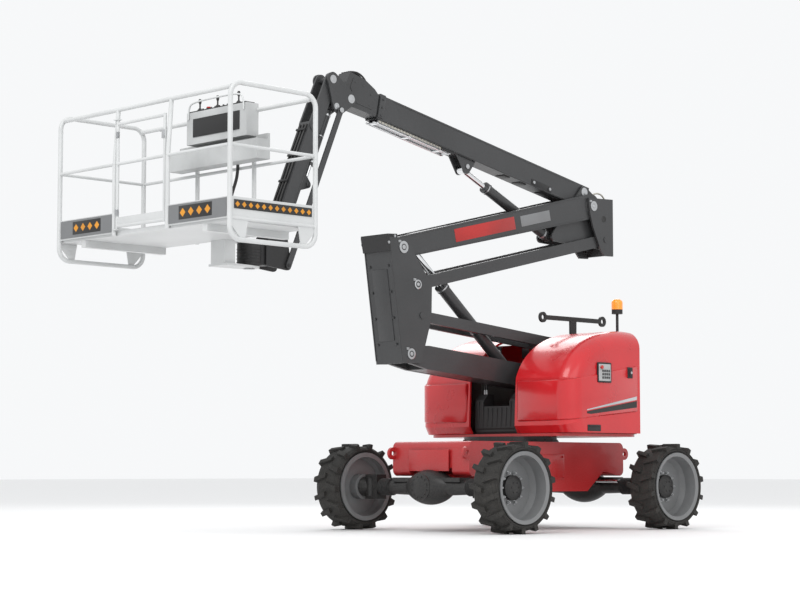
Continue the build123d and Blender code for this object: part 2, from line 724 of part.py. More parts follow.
# Lower arm: two side beams on the mast, open on top where the lift cylinder lies.
with BuildPart() as lower_arm:
    lower_half = LOWER_DEPTH / 2
    strap(
        LOWER_PIVOT,
        LOWER_ANGLE,
        (((0, 0), lower_half), ((LOWER_LENGTH - 260, 0), lower_half), ((LOWER_LENGTH, 0), ARM_TIP_R)),
        ARM_INNER_Y,
        ARM_OUTER_Y,
    )
    box_end = LOWER_LENGTH - 250
    skin = (lower_half - 2 - ARM_PLATE, lower_half - 2)
    block(LOWER_PIVOT, LOWER_ANGLE, (80, -skin[1]), (box_end, -skin[0]), ARM_INNER_Y)
    block(LOWER_PIVOT, LOWER_ANGLE, (LOWER_SLOT, skin[0]), (box_end, skin[1]), ARM_INNER_Y)
    block(LOWER_PIVOT, LOWER_ANGLE, (box_end - ARM_PLATE, -skin[0]), (box_end, skin[0]), ARM_INNER_Y)
    cross_pin(ARM_FOOT, CYLINDER_PIN_R, ARM_OUTER_Y)
    cross_pin(LOWER_PIVOT, BORE_R, ARM_OUTER_Y, Mode.SUBTRACT)
    cross_pin(LOWER_TIP, BORE_R, ARM_OUTER_Y, Mode.SUBTRACT)
finish(lower_arm, "lower_arm")


def link(name, start, angle, length, radius, tie):
    """A parallelogram's second bar: twin straps with one tie between them."""
    tip = along(start, length, angle)
    with BuildPart() as piece:
        strap(start, angle, (((0, 0), radius), ((length, 0), radius)), ARM_INNER_Y, ARM_OUTER_Y)
        low = (tie, -radius / 2)
        high = (tie + TIE_LENGTH, radius / 2)
        block(start, angle, low, high, ARM_INNER_Y)
        cross_pin(start, BORE_R, ARM_OUTER_Y, Mode.SUBTRACT)
        cross_pin(tip, BORE_R, ARM_OUTER_Y, Mode.SUBTRACT)
    finish(piece, name)


link("lower_link", LOWER_LINK_PIVOT, LOWER_ANGLE, LOWER_LENGTH, LOWER_LINK_DEPTH / 2, 300.0)
link("upper_link", UPPER_LINK_PIVOT, UPPER_ANGLE, UPPER_LENGTH, UPPER_LINK_DEPTH / 2, 1480.0)

# Riser knuckle: two side plates that carry the four pins, and a front plate.
with BuildPart() as riser_knuckle:
    front_low = plus(LOWER_TIP, (ARM_TIP_R + 26.0, -90.0))
    front_high = plus(UPPER_PIVOT, (178.0, 78.0))
    knuckle_corners = [
        front_low,
        front_high,
        plus(UPPER_PIVOT, (-75, 95)),
        plus(UPPER_PIVOT, (-150, -60)),
        plus(UPPER_LINK_PIVOT, (-185, 10)),
        plus(LOWER_LINK_TIP, (-125, -20)),
        plus(LOWER_TIP, (-130, -80)),
    ]
    side_plates(knuckle_corners, PLATE_INNER_Y, PLATE_OUTER_Y)
    with BuildSketch(side(PLATE_INNER_Y)):
        with BuildLine():
            Polyline(front_low, front_high, plus(front_high, (-16, 0)), plus(front_low, (-16, 0)), close=True)
        make_face()
    extrude(amount=2 * PLATE_INNER_Y)
    for pin in (LOWER_TIP, LOWER_LINK_TIP, UPPER_LINK_PIVOT, UPPER_PIVOT):
        cross_pin(pin, PIN_R, PLATE_OUTER_Y + 8.0)
finish(riser_knuckle, "riser_knuckle")

# Riser bracket: the black cap over the knuckle's top front edge.
with BuildPart() as riser_bracket:
    with BuildSketch(side(PLATE_OUTER_Y, front_high)):
        with BuildLine():
            slope = (front_high[0] - front_low[0]) / (front_high[1] - front_low[1])
            back_rise = 17.0 / 253.0
            Polyline(
                (0, 0),
                (-125 * slope, -125),
                (20 - 125 * slope, -125),
                (30, 0),
                (30, 30),
                (-96, 38),
                (-96, 96 * back_rise),
                close=True,
            )
        make_face()
    extrude(amount=2 * PLATE_OUTER_Y)
finish(riser_bracket, "riser_bracket")

# Upper arm: a fork round the boom's cylinder, closed on top near the riser knuckle.
FORK_ANGLE = UPPER_ANGLE - 180.0
with BuildPart() as upper_arm:
    strap(
        UPPER_TIP,
        FORK_ANGLE,
        (((0, 0), UPPER_DEPTH_REAR / 2), ((UPPER_LENGTH, 0), UPPER_DEPTH / 2)),
        ARM_INNER_Y,
        ARM_OUTER_Y,
    )
    block(UPPER_TIP, FORK_ANGLE, (UPPER_FORK, 84.0), (UPPER_LENGTH - ROD_OPENING, 96.0), ARM_INNER_Y)
    stub_pins(ARM_HEAD, CYLINDER_PIN_R + 10.0, EAR_START_Y, ARM_INNER_Y)
    cross_pin(UPPER_TIP, BORE_R, ARM_OUTER_Y, Mode.SUBTRACT)
    cross_pin(UPPER_PIVOT, BORE_R, ARM_OUTER_Y, Mode.SUBTRACT)
finish(upper_arm, "upper_arm")

# Boom knuckle: outer plates for the arms, inner ears for the boom and its cylinder,
# and the web behind that joins them.
with BuildPart() as boom_knuckle:
    knuckle_back = BACK_PLATE_X - UPPER_TIP[0]
    tail_corners = [
        (73, 78),
        (knuckle_back, 93),
        (knuckle_back, -492),
        (-167, -497),
        (-110, -440),
        (-50, -330),
        (10, -210),
        (50, -90),
        (70, 0),
    ]
    side_plates(tail_corners, PLATE_INNER_Y, PLATE_OUTER_Y, UPPER_TIP)
    ear_bosses = (
        (BOOM_OFFSET, 62.0),
        (BOOM_CYLINDER_FOOT, 48.0),
        ((knuckle_back + 14.0, -20.0), 10.0),
        ((knuckle_back + 14.0, -415.0), 10.0),
    )
    strap(UPPER_TIP, 0.0, ear_bosses, EAR_INNER_Y, EAR_OUTER_Y)
    block(UPPER_TIP, 0.0, (knuckle_back, -480), (knuckle_back + KNUCKLE_PLATE, 60), PLATE_OUTER_Y)
    stub_pins(UPPER_TIP, PIN_R, EAR_OUTER_Y - 6.0, PLATE_OUTER_Y + 6.0)
    stub_pins(UPPER_LINK_TIP, PIN_R, EAR_OUTER_Y - 6.0, PLATE_OUTER_Y + 6.0)
    cross_pin(BOOM_PIVOT, PIN_R, EAR_OUTER_Y + 2.0)
    cross_pin(BOOM_FOOT, CYLINDER_PIN_R, EAR_OUTER_Y)
finish(boom_knuckle, "boom_knuckle")

# Outer boom: the box that pivots on the knuckle, open in front, with the ears of its
# cylinder below.
boom_low = BOOM_CENTRE - BOOM_DEPTH / 2
boom_high = BOOM_CENTRE + BOOM_DEPTH / 2
with BuildPart() as boom_outer:
    block(BOOM_PIVOT, BOOM_ANGLE, (-BOOM_REAR, boom_low), (BOOM_LENGTH, boom_high), BOOM_WIDTH / 2)
    block(
        BOOM_PIVOT,
        BOOM_ANGLE,
        (60.0 - BOOM_REAR, boom_low + BOOM_WALL),
        (BOOM_LENGTH, boom_high - BOOM_WALL),
        BOOM_WIDTH / 2 - BOOM_WALL,
        Mode.SUBTRACT,
    )
    for y in pair(EAR_START_Y, EAR_START_Y + 14.0):
        with BuildSketch(side(y, BOOM_PIVOT, BOOM_ANGLE)):
            with Locations(BOOM_CYLINDER_HEAD):
                Circle(44.0)
            with Locations((BOOM_CYLINDER_HEAD[0] + 30.0, boom_low + 4.0)):
                Rectangle(260.0, 8.0)
            make_hull()
        extrude(amount=14.0)
    lip_top = boom_high + 10.0
    block(BOOM_PIVOT, BOOM_ANGLE, (BOOM_LENGTH - 70, boom_high), (BOOM_LENGTH, lip_top), BOOM_WIDTH / 2)
    cross_pin(BOOM_PIVOT, BORE_R, BOOM_WIDTH / 2, Mode.SUBTRACT)
finish(boom_outer, "boom_outer")

# Inner boom: the box that slides in the outer one, and the nose that carries the jib.
with BuildPart() as boom_inner:
    slide_drop = BOOM_WALL + BOOM_SLIDE_GAP
    inner_half = BOOM_WIDTH / 2 - slide_drop
    block(
        BOOM_PIVOT,
        BOOM_ANGLE,
        (INNER_START, boom_low + slide_drop),
        (INNER_END, boom_high - slide_drop),
        inner_half,
    )
    block(
        BOOM_PIVOT,
        BOOM_ANGLE,
        (INNER_START, boom_low + slide_drop + INNER_WALL),
        (BOOM_LENGTH, boom_high - slide_drop - INNER_WALL),
        inner_half - INNER_WALL,
        Mode.SUBTRACT,
    )
    with BuildSketch(side(NOSE_HALF, BOOM_PIVOT, BOOM_ANGLE)):
        with BuildLine():
            Polyline(
                (2930, -143),
                (2930, 60),
                (2990, 101),
                (3130, 150),
                (3316, 160),
                (3340, 60),
                (3345, -130),
                (3230, -150),
                close=True,
            )
        make_face()
    extrude(amount=2 * NOSE_HALF)
    cross_pin(HEAD_POINT, BORE_R, NOSE_HALF, Mode.SUBTRACT)
finish(boom_inner, "boom_inner")

# Cable guide: the tray that carries the hoses under the outer boom.
with BuildPart() as cable_guide:
    block(BOOM_PIVOT, BOOM_ANGLE, (1900.0, boom_low - 24.0), (BOOM_LENGTH - 30.0, boom_low), 62.0)
    channel = ((1900.0, boom_low - 18.0), (BOOM_LENGTH - 30.0, boom_low))
    block(BOOM_PIVOT, BOOM_ANGLE, *channel, 54.0, Mode.SUBTRACT)
finish(cable_guide, "cable_guide")

# Jib knuckle: two plates that hang from the nose and carry the jib, its link and
# its cylinder.
JIB_PIN_R = 22.0
LINK_PIN_R = 16.0
JIB_PLATE_OUTER = JIB_PLATE_INNER + JIB_PLATE
with BuildPart() as jib_knuckle:
    head_bosses = (
        ((0.0, 0.0), 60.0),
        (JIB_PIVOT_FROM_HEAD, 66.0),
        (plus(JIB_PIVOT_FROM_HEAD, JIB_CYLINDER_FOOT), 42.0),
        (plus(JIB_PIVOT_FROM_HEAD, JIB_LINK_OFFSET), 40.0),
    )
    strap(HEAD_POINT, 0.0, head_bosses, JIB_PLATE_INNER, JIB_PLATE_OUTER)
    cross_pin(HEAD_POINT, PIN_R, JIB_PLATE_OUTER + 2.0)
    cross_pin(JIB_PIVOT, PIN_R, JIB_PLATE_OUTER + 2.0)
    cross_pin(JIB_FOOT, JIB_PIN_R, JIB_PLATE_OUTER)
    link_pin_end = JIB_LINK_INNER + JIB_LINK_PLATE + 6.0
    stub_pins(JIB_LINK_PIVOT, LINK_PIN_R, JIB_PLATE_INNER + 4.0, link_pin_end)
finish(jib_knuckle, "jib_knuckle")

# Jib: forked round its cylinder at the root, then a box, with ears for the rod.
with BuildPart() as jib_arm:
    strap(JIB_PIVOT, JIB_ANGLE, (((0, 0), 62.0), ((JIB_FORK, 0), JIB_DEPTH / 2)), 56.0, JIB_HALF_WIDTH)
    block(
        JIB_PIVOT,
        JIB_ANGLE,
        (JIB_FORK, -JIB_DEPTH / 2),
        (JIB_LENGTH, JIB_DEPTH / 2),
        JIB_HALF_WIDTH - 6.0,
    )
    block(
        JIB_PIVOT,
        JIB_ANGLE,
        (JIB_FORK + 10, 10 - JIB_DEPTH / 2),
        (JIB_LENGTH - 80, JIB_DEPTH / 2 - 10),
        JIB_HALF_WIDTH - 14.0,
        Mode.SUBTRACT,
    )
    cross_pin(JIB_TIP, JIB_DEPTH / 2, JIB_HALF_WIDTH - 6.0)
    for y in pair(EAR_START_Y, EAR_START_Y + 12.0):
        with BuildSketch(side(y, JIB_PIVOT, JIB_ANGLE)):
            with Locations(JIB_CYLINDER_HEAD):
                Circle(34.0)
            with Locations((JIB_CYLINDER_HEAD[0] + 10.0, 6.0 - JIB_DEPTH / 2)):
                Rectangle(180.0, 12.0)
            make_hull()
        extrude(amount=12.0)
    cross_pin(JIB_PIVOT, BORE_R, JIB_HALF_WIDTH, Mode.SUBTRACT)
    cross_pin(JIB_TIP, BORE_R, JIB_HALF_WIDTH, Mode.SUBTRACT)
finish(jib_arm, "jib_arm")

# Jib links: the bars either side of the jib that keep the basket level.
for side_name, y in (("left", JIB_LINK_INNER + JIB_LINK_PLATE), ("right", -JIB_LINK_INNER)):
    with BuildPart() as jib_link:
        with BuildSketch(side(y, JIB_LINK_PIVOT, JIB_ANGLE)):
            with Locations((JIB_LENGTH / 2, 0)):
                SlotCenterToCenter(JIB_LENGTH, JIB_LINK_DEPTH)
            for x in (0.0, JIB_LENGTH):
                with Locations((x, 0)):
                    Circle(LINK_PIN_R + RUNNING_FIT, mode=Mode.SUBTRACT)
        extrude(amount=JIB_LINK_PLATE)
    finish(jib_link, "jib_link_" + side_name)

# Basket carrier: plates round the jib's end, and the rotator in front of them.
ROTATOR_TOP = FLOOR_Z - BASKET_FLOOR - 5.0
ROTATOR_BOTTOM = ROTATOR_TOP - ROTATOR_HEIGHT
with BuildPart() as basket_carrier:
    carrier_top = ROTATOR_TOP - JIB_TIP[1]
    carrier_bottom = ROTATOR_BOTTOM - JIB_TIP[1]
    carrier_bosses = (
        ((0.0, 0.0), 70.0),
        (JIB_LINK_OFFSET, 42.0),
        ((145.0, carrier_top - 20.0), 20.0),
        ((145.0, carrier_bottom + 20.0), 20.0),
    )
    strap(JIB_TIP, 0.0, carrier_bosses, JIB_PLATE_INNER, JIB_PLATE_OUTER)
    rotator_rear = ROTATOR_FROM_JIB - 60.0
    block(JIB_TIP, 0.0, (86.0, carrier_bottom + 8.0), (rotator_rear, carrier_top - 8.0), 84.0)
    with BuildSketch(level(ROTATOR_BOTTOM, ROTATOR_X)):
        Circle(ROTATOR_R)
    extrude(amount=ROTATOR_HEIGHT)
    with BuildSketch(level(ROTATOR_BOTTOM - CLEVIS_PLATE - 5.0, ROTATOR_X)):
        Circle(PIN_R)
    extrude(amount=ROTATOR_HEIGHT + 2 * CLEVIS_PLATE + 10.0)
    cross_pin(JIB_TIP, PIN_R, JIB_PLATE_OUTER + 2.0)
    stub_pins(JIB_LINK_TIP, LINK_PIN_R, JIB_PLATE_INNER + 4.0, link_pin_end)
finish(basket_carrier, "basket_carrier")


def cylinder(name, foot, head, radius, rod_radius, pin_radius, length, rod_start):
    """A hydraulic cylinder: the barrel's eye and tube, and a rod with its eye."""
    angle = degrees(atan2(head[1] - foot[1], head[0] - foot[0]))
    reach = hypot(head[0] - foot[0], head[1] - foot[1])
    slope = radians(angle)
    direction = (cos(slope), 0, sin(slope))

    def section(distance):
        spot = along(foot, distance, angle)
        return Plane(origin=(SLEW_X + spot[0], 0, spot[1]), x_dir=(0, 1, 0), z_dir=direction)

    with BuildPart() as barrel:
        cross_pin(foot, pin_radius + 18.0, EYE_HALF_WIDTH)
        with BuildSketch(section(0.0)):
            Circle(min(0.7 * radius, EYE_HALF_WIDTH - 4.0))
        extrude(amount=pin_radius + 40.0)
        with BuildSketch(section(pin_radius + 20.0)):
            Circle(radius)
        extrude(amount=length - pin_radius - 20.0)
        with BuildSketch(section(length - 50.0)):
            Circle(radius + 6.0)
        extrude(amount=50.0)
        with BuildSketch(section(pin_radius + 36.0)):
            Circle(rod_radius + RUNNING_FIT)
        extrude(amount=length, mode=Mode.SUBTRACT)
        cross_pin(foot, pin_radius + RUNNING_FIT, EYE_HALF_WIDTH, Mode.SUBTRACT)
    finish(barrel, name + "_barrel")
    with BuildPart() as rod:
        with BuildSketch(section(rod_start)):
            Circle(rod_radius)
        extrude(amount=reach - rod_start)
        cross_pin(head, rod_radius + 12.0, EYE_HALF_WIDTH)
        cross_pin(head, rod_radius * 0.5, EYE_HALF_WIDTH, Mode.SUBTRACT)
    finish(rod, name + "_rod")


cylinder("arm", ARM_FOOT, ARM_HEAD, ARM_BARREL_R, ARM_ROD_R, CYLINDER_PIN_R, ARM_BARREL_LENGTH, 330.0)
cylinder("boom", BOOM_FOOT, BOOM_HEAD, BOOM_BARREL_R, BOOM_ROD_R, CYLINDER_PIN_R, BOOM_BARREL_LENGTH, 220.0)
cylinder("jib", JIB_FOOT, JIB_HEAD, JIB_BARREL_R, JIB_ROD_R, JIB_PIN_R, JIB_BARREL_LENGTH, 90.0)


def tube(start, end, radius):
    """A round tube between two points (x, y, z), added to the open piece."""
    offset_x = (SLEW_X + start[0], start[1], start[2])
    run = (end[0] - start[0], end[1] - start[1], end[2] - start[2])
    length = (run[0] ** 2 + run[1] ** 2 + run[2] ** 2) ** 0.5
    guide = (0, 1, 0) if run[1] == 0 else (0, 0, 1)
    with BuildSketch(Plane(origin=offset_x, x_dir=guide, z_dir=run)) as section:
        Circle(radius)
    extrude(section.sketch, amount=length)


def panel(low, high):
    """A plate between two corners (x, y, z), added to the open piece."""
    middle = [(a + b) / 2 for a, b in zip(low, high)]
    with BuildSketch(level(low[2], middle[0], middle[1])) as outline:
        Rectangle(high[0] - low[0], high[1] - low[1])
    extrude(outline.sketch, amount=high[2] - low[2])


# Basket floor: the deck and its beam, with the clevis over and under the rotator.
END_Y = BASKET_WIDTH / 2
END_INNER_Y = END_Y - RAIL_R
RAIL_Z = FLOOR_Z + RAIL_HEIGHT
MID_Z = FLOOR_Z + MID_RAIL_HEIGHT
CORNER_IN = LOOP_CORNER_R * (1 - cos(radians(45)))
inset = RAIL_R + 1.0
with BuildPart() as basket_floor:
    low = (BASKET_REAR + inset, inset - END_Y, FLOOR_Z - BASKET_FLOOR)
    high = (BASKET_FRONT - inset, END_Y - inset, FLOOR_Z)
    panel(low, high)
    for y in (-1, 1):
        middle = y * (END_Y - 330.0)
        panel((low[0], middle - 30, FLOOR_Z - 100), (high[0], middle + 30, low[2]))
    clevis_bottom = ROTATOR_BOTTOM - 5.0 - CLEVIS_PLATE
    for z in (clevis_bottom, ROTATOR_TOP + 5.0):
        with BuildSketch(level(z, ROTATOR_X)):
            Circle(90.0)
            with Locations((BASKET_GAP + 40.0, 0)):
                Rectangle(80.0, 240.0)
            make_hull()
        extrude(amount=CLEVIS_PLATE)
    panel((BASKET_REAR - 40, -90, clevis_bottom), (BASKET_REAR + 80, 90, FLOOR_Z - BASKET_FLOOR))
    with BuildSketch(level(clevis_bottom, ROTATOR_X)):
        Circle(PIN_R + RUNNING_FIT)
    extrude(amount=400.0, mode=Mode.SUBTRACT)
finish(basket_floor, "basket_floor")


def end_frame(name, hand):
    """One end of the basket: a closed tube loop, its mid rail and its toe board."""
    y = hand * END_Y
    bottom = FLOOR_Z - BASKET_FLOOR - LOOP_DROP
    depth = BASKET_FRONT - BASKET_REAR
    centre = ((BASKET_FRONT + BASKET_REAR) / 2, (RAIL_Z + bottom) / 2)
    with BuildPart() as piece:
        with BuildSketch(side(y + RAIL_R, centre)):
            RectangleRounded(depth + 2 * RAIL_R, RAIL_Z - bottom + 2 * RAIL_R, LOOP_CORNER_R + RAIL_R)
            RectangleRounded(
                depth - 2 * RAIL_R,
                RAIL_Z - bottom - 2 * RAIL_R,
                LOOP_CORNER_R - RAIL_R,
                mode=Mode.SUBTRACT,
            )
        extrude(amount=2 * RAIL_R)
        rims = piece.faces().filter_by(Axis.Y).edges()
        fillet(rims, 0.8 * RAIL_R)
        tube((BASKET_REAR, y, MID_Z), (BASKET_FRONT, y, MID_Z), BAR_R)
        tube((BASKET_REAR, y, FLOOR_Z - 20.0), (BASKET_FRONT, y, FLOOR_Z - 20.0), BAR_R)
        inner = y - hand * TOE_PLATE / 2
        panel(
            (BASKET_REAR, min(y, inner) - TOE_PLATE / 2, FLOOR_Z - 20.0),
            (BASKET_FRONT, max(y, inner) + TOE_PLATE / 2, FLOOR_Z + TOE_HEIGHT),
        )
        for x in (BASKET_REAR, BASKET_FRONT):
            step = 120.0 if x == BASKET_REAR else -120.0
            with BuildSketch(side(y + TOE_PLATE, (x, bottom))):
                with BuildLine():
                    Polyline((0, 130), (0, 190), (step * 1.6, 190), (step * 1.3, 0), (step, 0), close=True)
                make_face()
            extrude(amount=2 * TOE_PLATE)
    finish(piece, name)


end_frame("basket_left_frame", 1)
end_frame("basket_right_frame", -1)


def long_rails(name, x, inward, gap, post_y):
    """A long side of the basket: rails between the end frames, posts and toe boards."""
    rail_x = x + inward * CORNER_IN
    rail_z = RAIL_Z - CORNER_IN
    with BuildPart() as piece:
        tube((rail_x, -END_INNER_Y, rail_z), (rail_x, END_INNER_Y, rail_z), RAIL_R)
        for y in (-1, 1):
            tube((x, y * gap, MID_Z), (x, y * END_INNER_Y, MID_Z), BAR_R)
            tube((x, y * post_y, FLOOR_Z - BASKET_FLOOR), (x, y * post_y, MID_Z), RAIL_R)
            tube((x, y * post_y, MID_Z), (rail_x, y * post_y, rail_z), RAIL_R)
            panel(
                (x - TOE_PLATE, min(y * gap, y * END_INNER_Y), FLOOR_Z - 20.0),
                (x + TOE_PLATE, max(y * gap, y * END_INNER_Y), FLOOR_Z + TOE_HEIGHT),
            )
        if gap > 0:
            for z in (FLOOR_Z + 2.0, GATE_TOP + 20.0):
                panel((x - 22, -gap, z), (x + 22, GATE_LUG_END, z + 8.0))
            hinge = (x, GATE_HINGE_Y, FLOOR_Z)
            with BuildSketch(level(FLOOR_Z, hinge[0], hinge[1])):
                Circle(BAR_R + RUNNING_FIT)
            extrude(amount=RAIL_HEIGHT - 60.0, mode=Mode.SUBTRACT)
    finish(piece, name)
    return piece


# The gate hangs in the front gap on a tube of its own and opens inwards.
GATE_TOP = RAIL_Z - 150.0
GATE_HINGE_Y = -GATE_HALF + RAIL_R + GATE_GAP + BAR_R
GATE_LUG_END = GATE_HINGE_Y + 24.0
long_rails("basket_front_rails", BASKET_FRONT, -1, GATE_HALF, GATE_HALF)
rear_rails = long_rails("basket_rear_rails", BASKET_REAR, 1, 0.0, 380.0)

with BuildPart() as basket_gate:
    tube(
        (BASKET_FRONT, GATE_HINGE_Y, FLOOR_Z + 2.0),
        (BASKET_FRONT, GATE_HINGE_Y, GATE_TOP + 28.0),
        BAR_R,
    )
    tube((BASKET_FRONT, -GATE_HINGE_Y, FLOOR_Z + 20.0), (BASKET_FRONT, -GATE_HINGE_Y, GATE_TOP), BAR_R)
    for z in (FLOOR_Z + 34.0, MID_Z, GATE_TOP - BAR_R):
        tube((BASKET_FRONT, GATE_HINGE_Y, z), (BASKET_FRONT, -GATE_HINGE_Y, z), BAR_R)
    panel(
        (BASKET_FRONT - 2.0, GATE_HINGE_Y, FLOOR_Z + 20.0),
        (BASKET_FRONT + 2.0, -GATE_HINGE_Y, FLOOR_Z + 110.0),
    )
finish(basket_gate, "basket_gate")

# Console: the control box on the rear rail, and the tool tray under it.
with BuildPart() as basket_console:
    back = BASKET_REAR + CORNER_IN
    panel((back, -560, RAIL_Z - 470), (back + RAIL_R + 6, 620, RAIL_Z - 250))
    panel((back, -330, RAIL_Z - 470), (back + RAIL_R + 6, 470, RAIL_Z + 20))
    panel((back + 20, -330, RAIL_Z - 260), (back + 130, 470, RAIL_Z + 20))
    panel((back + 20, -560, RAIL_Z - 470), (back + 140, 620, RAIL_Z - 300))
    with BuildSketch(level(RAIL_Z - 464, back + 80)):
        with Locations((0, 30)):
            Rectangle(108, 1168)
    extrude(amount=164.0, mode=Mode.SUBTRACT)
    add(rear_rails.part, mode=Mode.SUBTRACT)
finish(basket_console, "basket_console")

# Control panel: the ground controls on the left hood.
with BuildPart() as control_panel:
    with BuildSketch(side(HOOD_OUTER_Y + 14.0, (-215.0, 1490.0))):
        RectangleRounded(200.0, 190.0, 14.0)
    extrude(amount=14.0)
finish(control_panel, "control_panel")
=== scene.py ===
"""Looks of an articulating boom lift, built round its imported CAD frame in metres."""

from __future__ import annotations

import json
import logging
import math
from dataclasses import dataclass
from enum import Enum
from typing import Iterable, Iterator, Sequence

import bmesh
import bpy
from mathutils import Matrix, Vector

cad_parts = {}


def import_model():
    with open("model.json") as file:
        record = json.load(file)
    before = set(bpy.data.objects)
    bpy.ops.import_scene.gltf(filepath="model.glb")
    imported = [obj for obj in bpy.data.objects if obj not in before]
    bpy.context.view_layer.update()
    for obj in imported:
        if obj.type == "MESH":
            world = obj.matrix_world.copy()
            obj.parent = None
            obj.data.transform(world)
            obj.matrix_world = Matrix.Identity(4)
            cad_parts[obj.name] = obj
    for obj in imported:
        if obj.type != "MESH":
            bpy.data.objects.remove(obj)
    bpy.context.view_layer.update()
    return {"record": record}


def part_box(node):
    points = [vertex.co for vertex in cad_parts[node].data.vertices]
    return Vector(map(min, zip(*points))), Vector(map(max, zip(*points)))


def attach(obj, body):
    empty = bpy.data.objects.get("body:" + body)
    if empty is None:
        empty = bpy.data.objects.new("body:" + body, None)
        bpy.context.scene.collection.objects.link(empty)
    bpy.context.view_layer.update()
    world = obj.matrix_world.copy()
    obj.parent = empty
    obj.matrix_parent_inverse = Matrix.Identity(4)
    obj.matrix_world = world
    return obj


LOG = logging.getLogger("boom_lift")
Point = tuple[float, float, float]
Pair = tuple[float, float]
Colour = tuple[float, float, float]
Tree = bpy.types.NodeTree
Socket = bpy.types.NodeSocket
UP = Vector((0, 0, 1))
PATCH_SCALE, PATCH_DETAIL, GRAIN_DETAIL = 2.3, 6.0, 4.0
DUST_FREE_Z, DUSTY_Z = 1.3, 0.2
BUMP_DEPTH = 0.002
BEVEL_TURN = 0.6
WELD_GAP = 0.00002
SMOOTH_TURN = math.radians(35)
BEAD = 0.0035
BUTTON_NECK = 0.014


class Corner(Enum):
    """The four wheels, by the names of their nodes."""

    FRONT_LEFT = "front_left"
    FRONT_RIGHT = "front_right"
    REAR_LEFT = "rear_left"
    REAR_RIGHT = "rear_right"

    @property
    def hand(self) -> int:
        """The side of the machine: 1 for left, -1 for right."""
        return 1 if self.value.endswith("left") else -1


def fill(node: bpy.types.Node, values: dict[str | int, object]) -> None:
    """Sets a node's inputs."""
    for name, value in values.items():
        node.inputs[name].default_value = value


def put(*place: float) -> Matrix:
    """Gives the transform that moves a shape to a place."""
    return Matrix.Translation(place)


def round_turns(count: int, offset: float = 0.0) -> Iterator[Pair]:
    """Gives the cosine and the sine of evenly spaced turns."""
    for index in range(count):
        turn = 2 * math.pi * (index + offset) / count
        yield math.cos(turn), math.sin(turn)


def aside(reach: float) -> Vector:
    """Gives a shift to the machine's left, or to its right when it is negative."""
    return Vector((0, reach, 0))


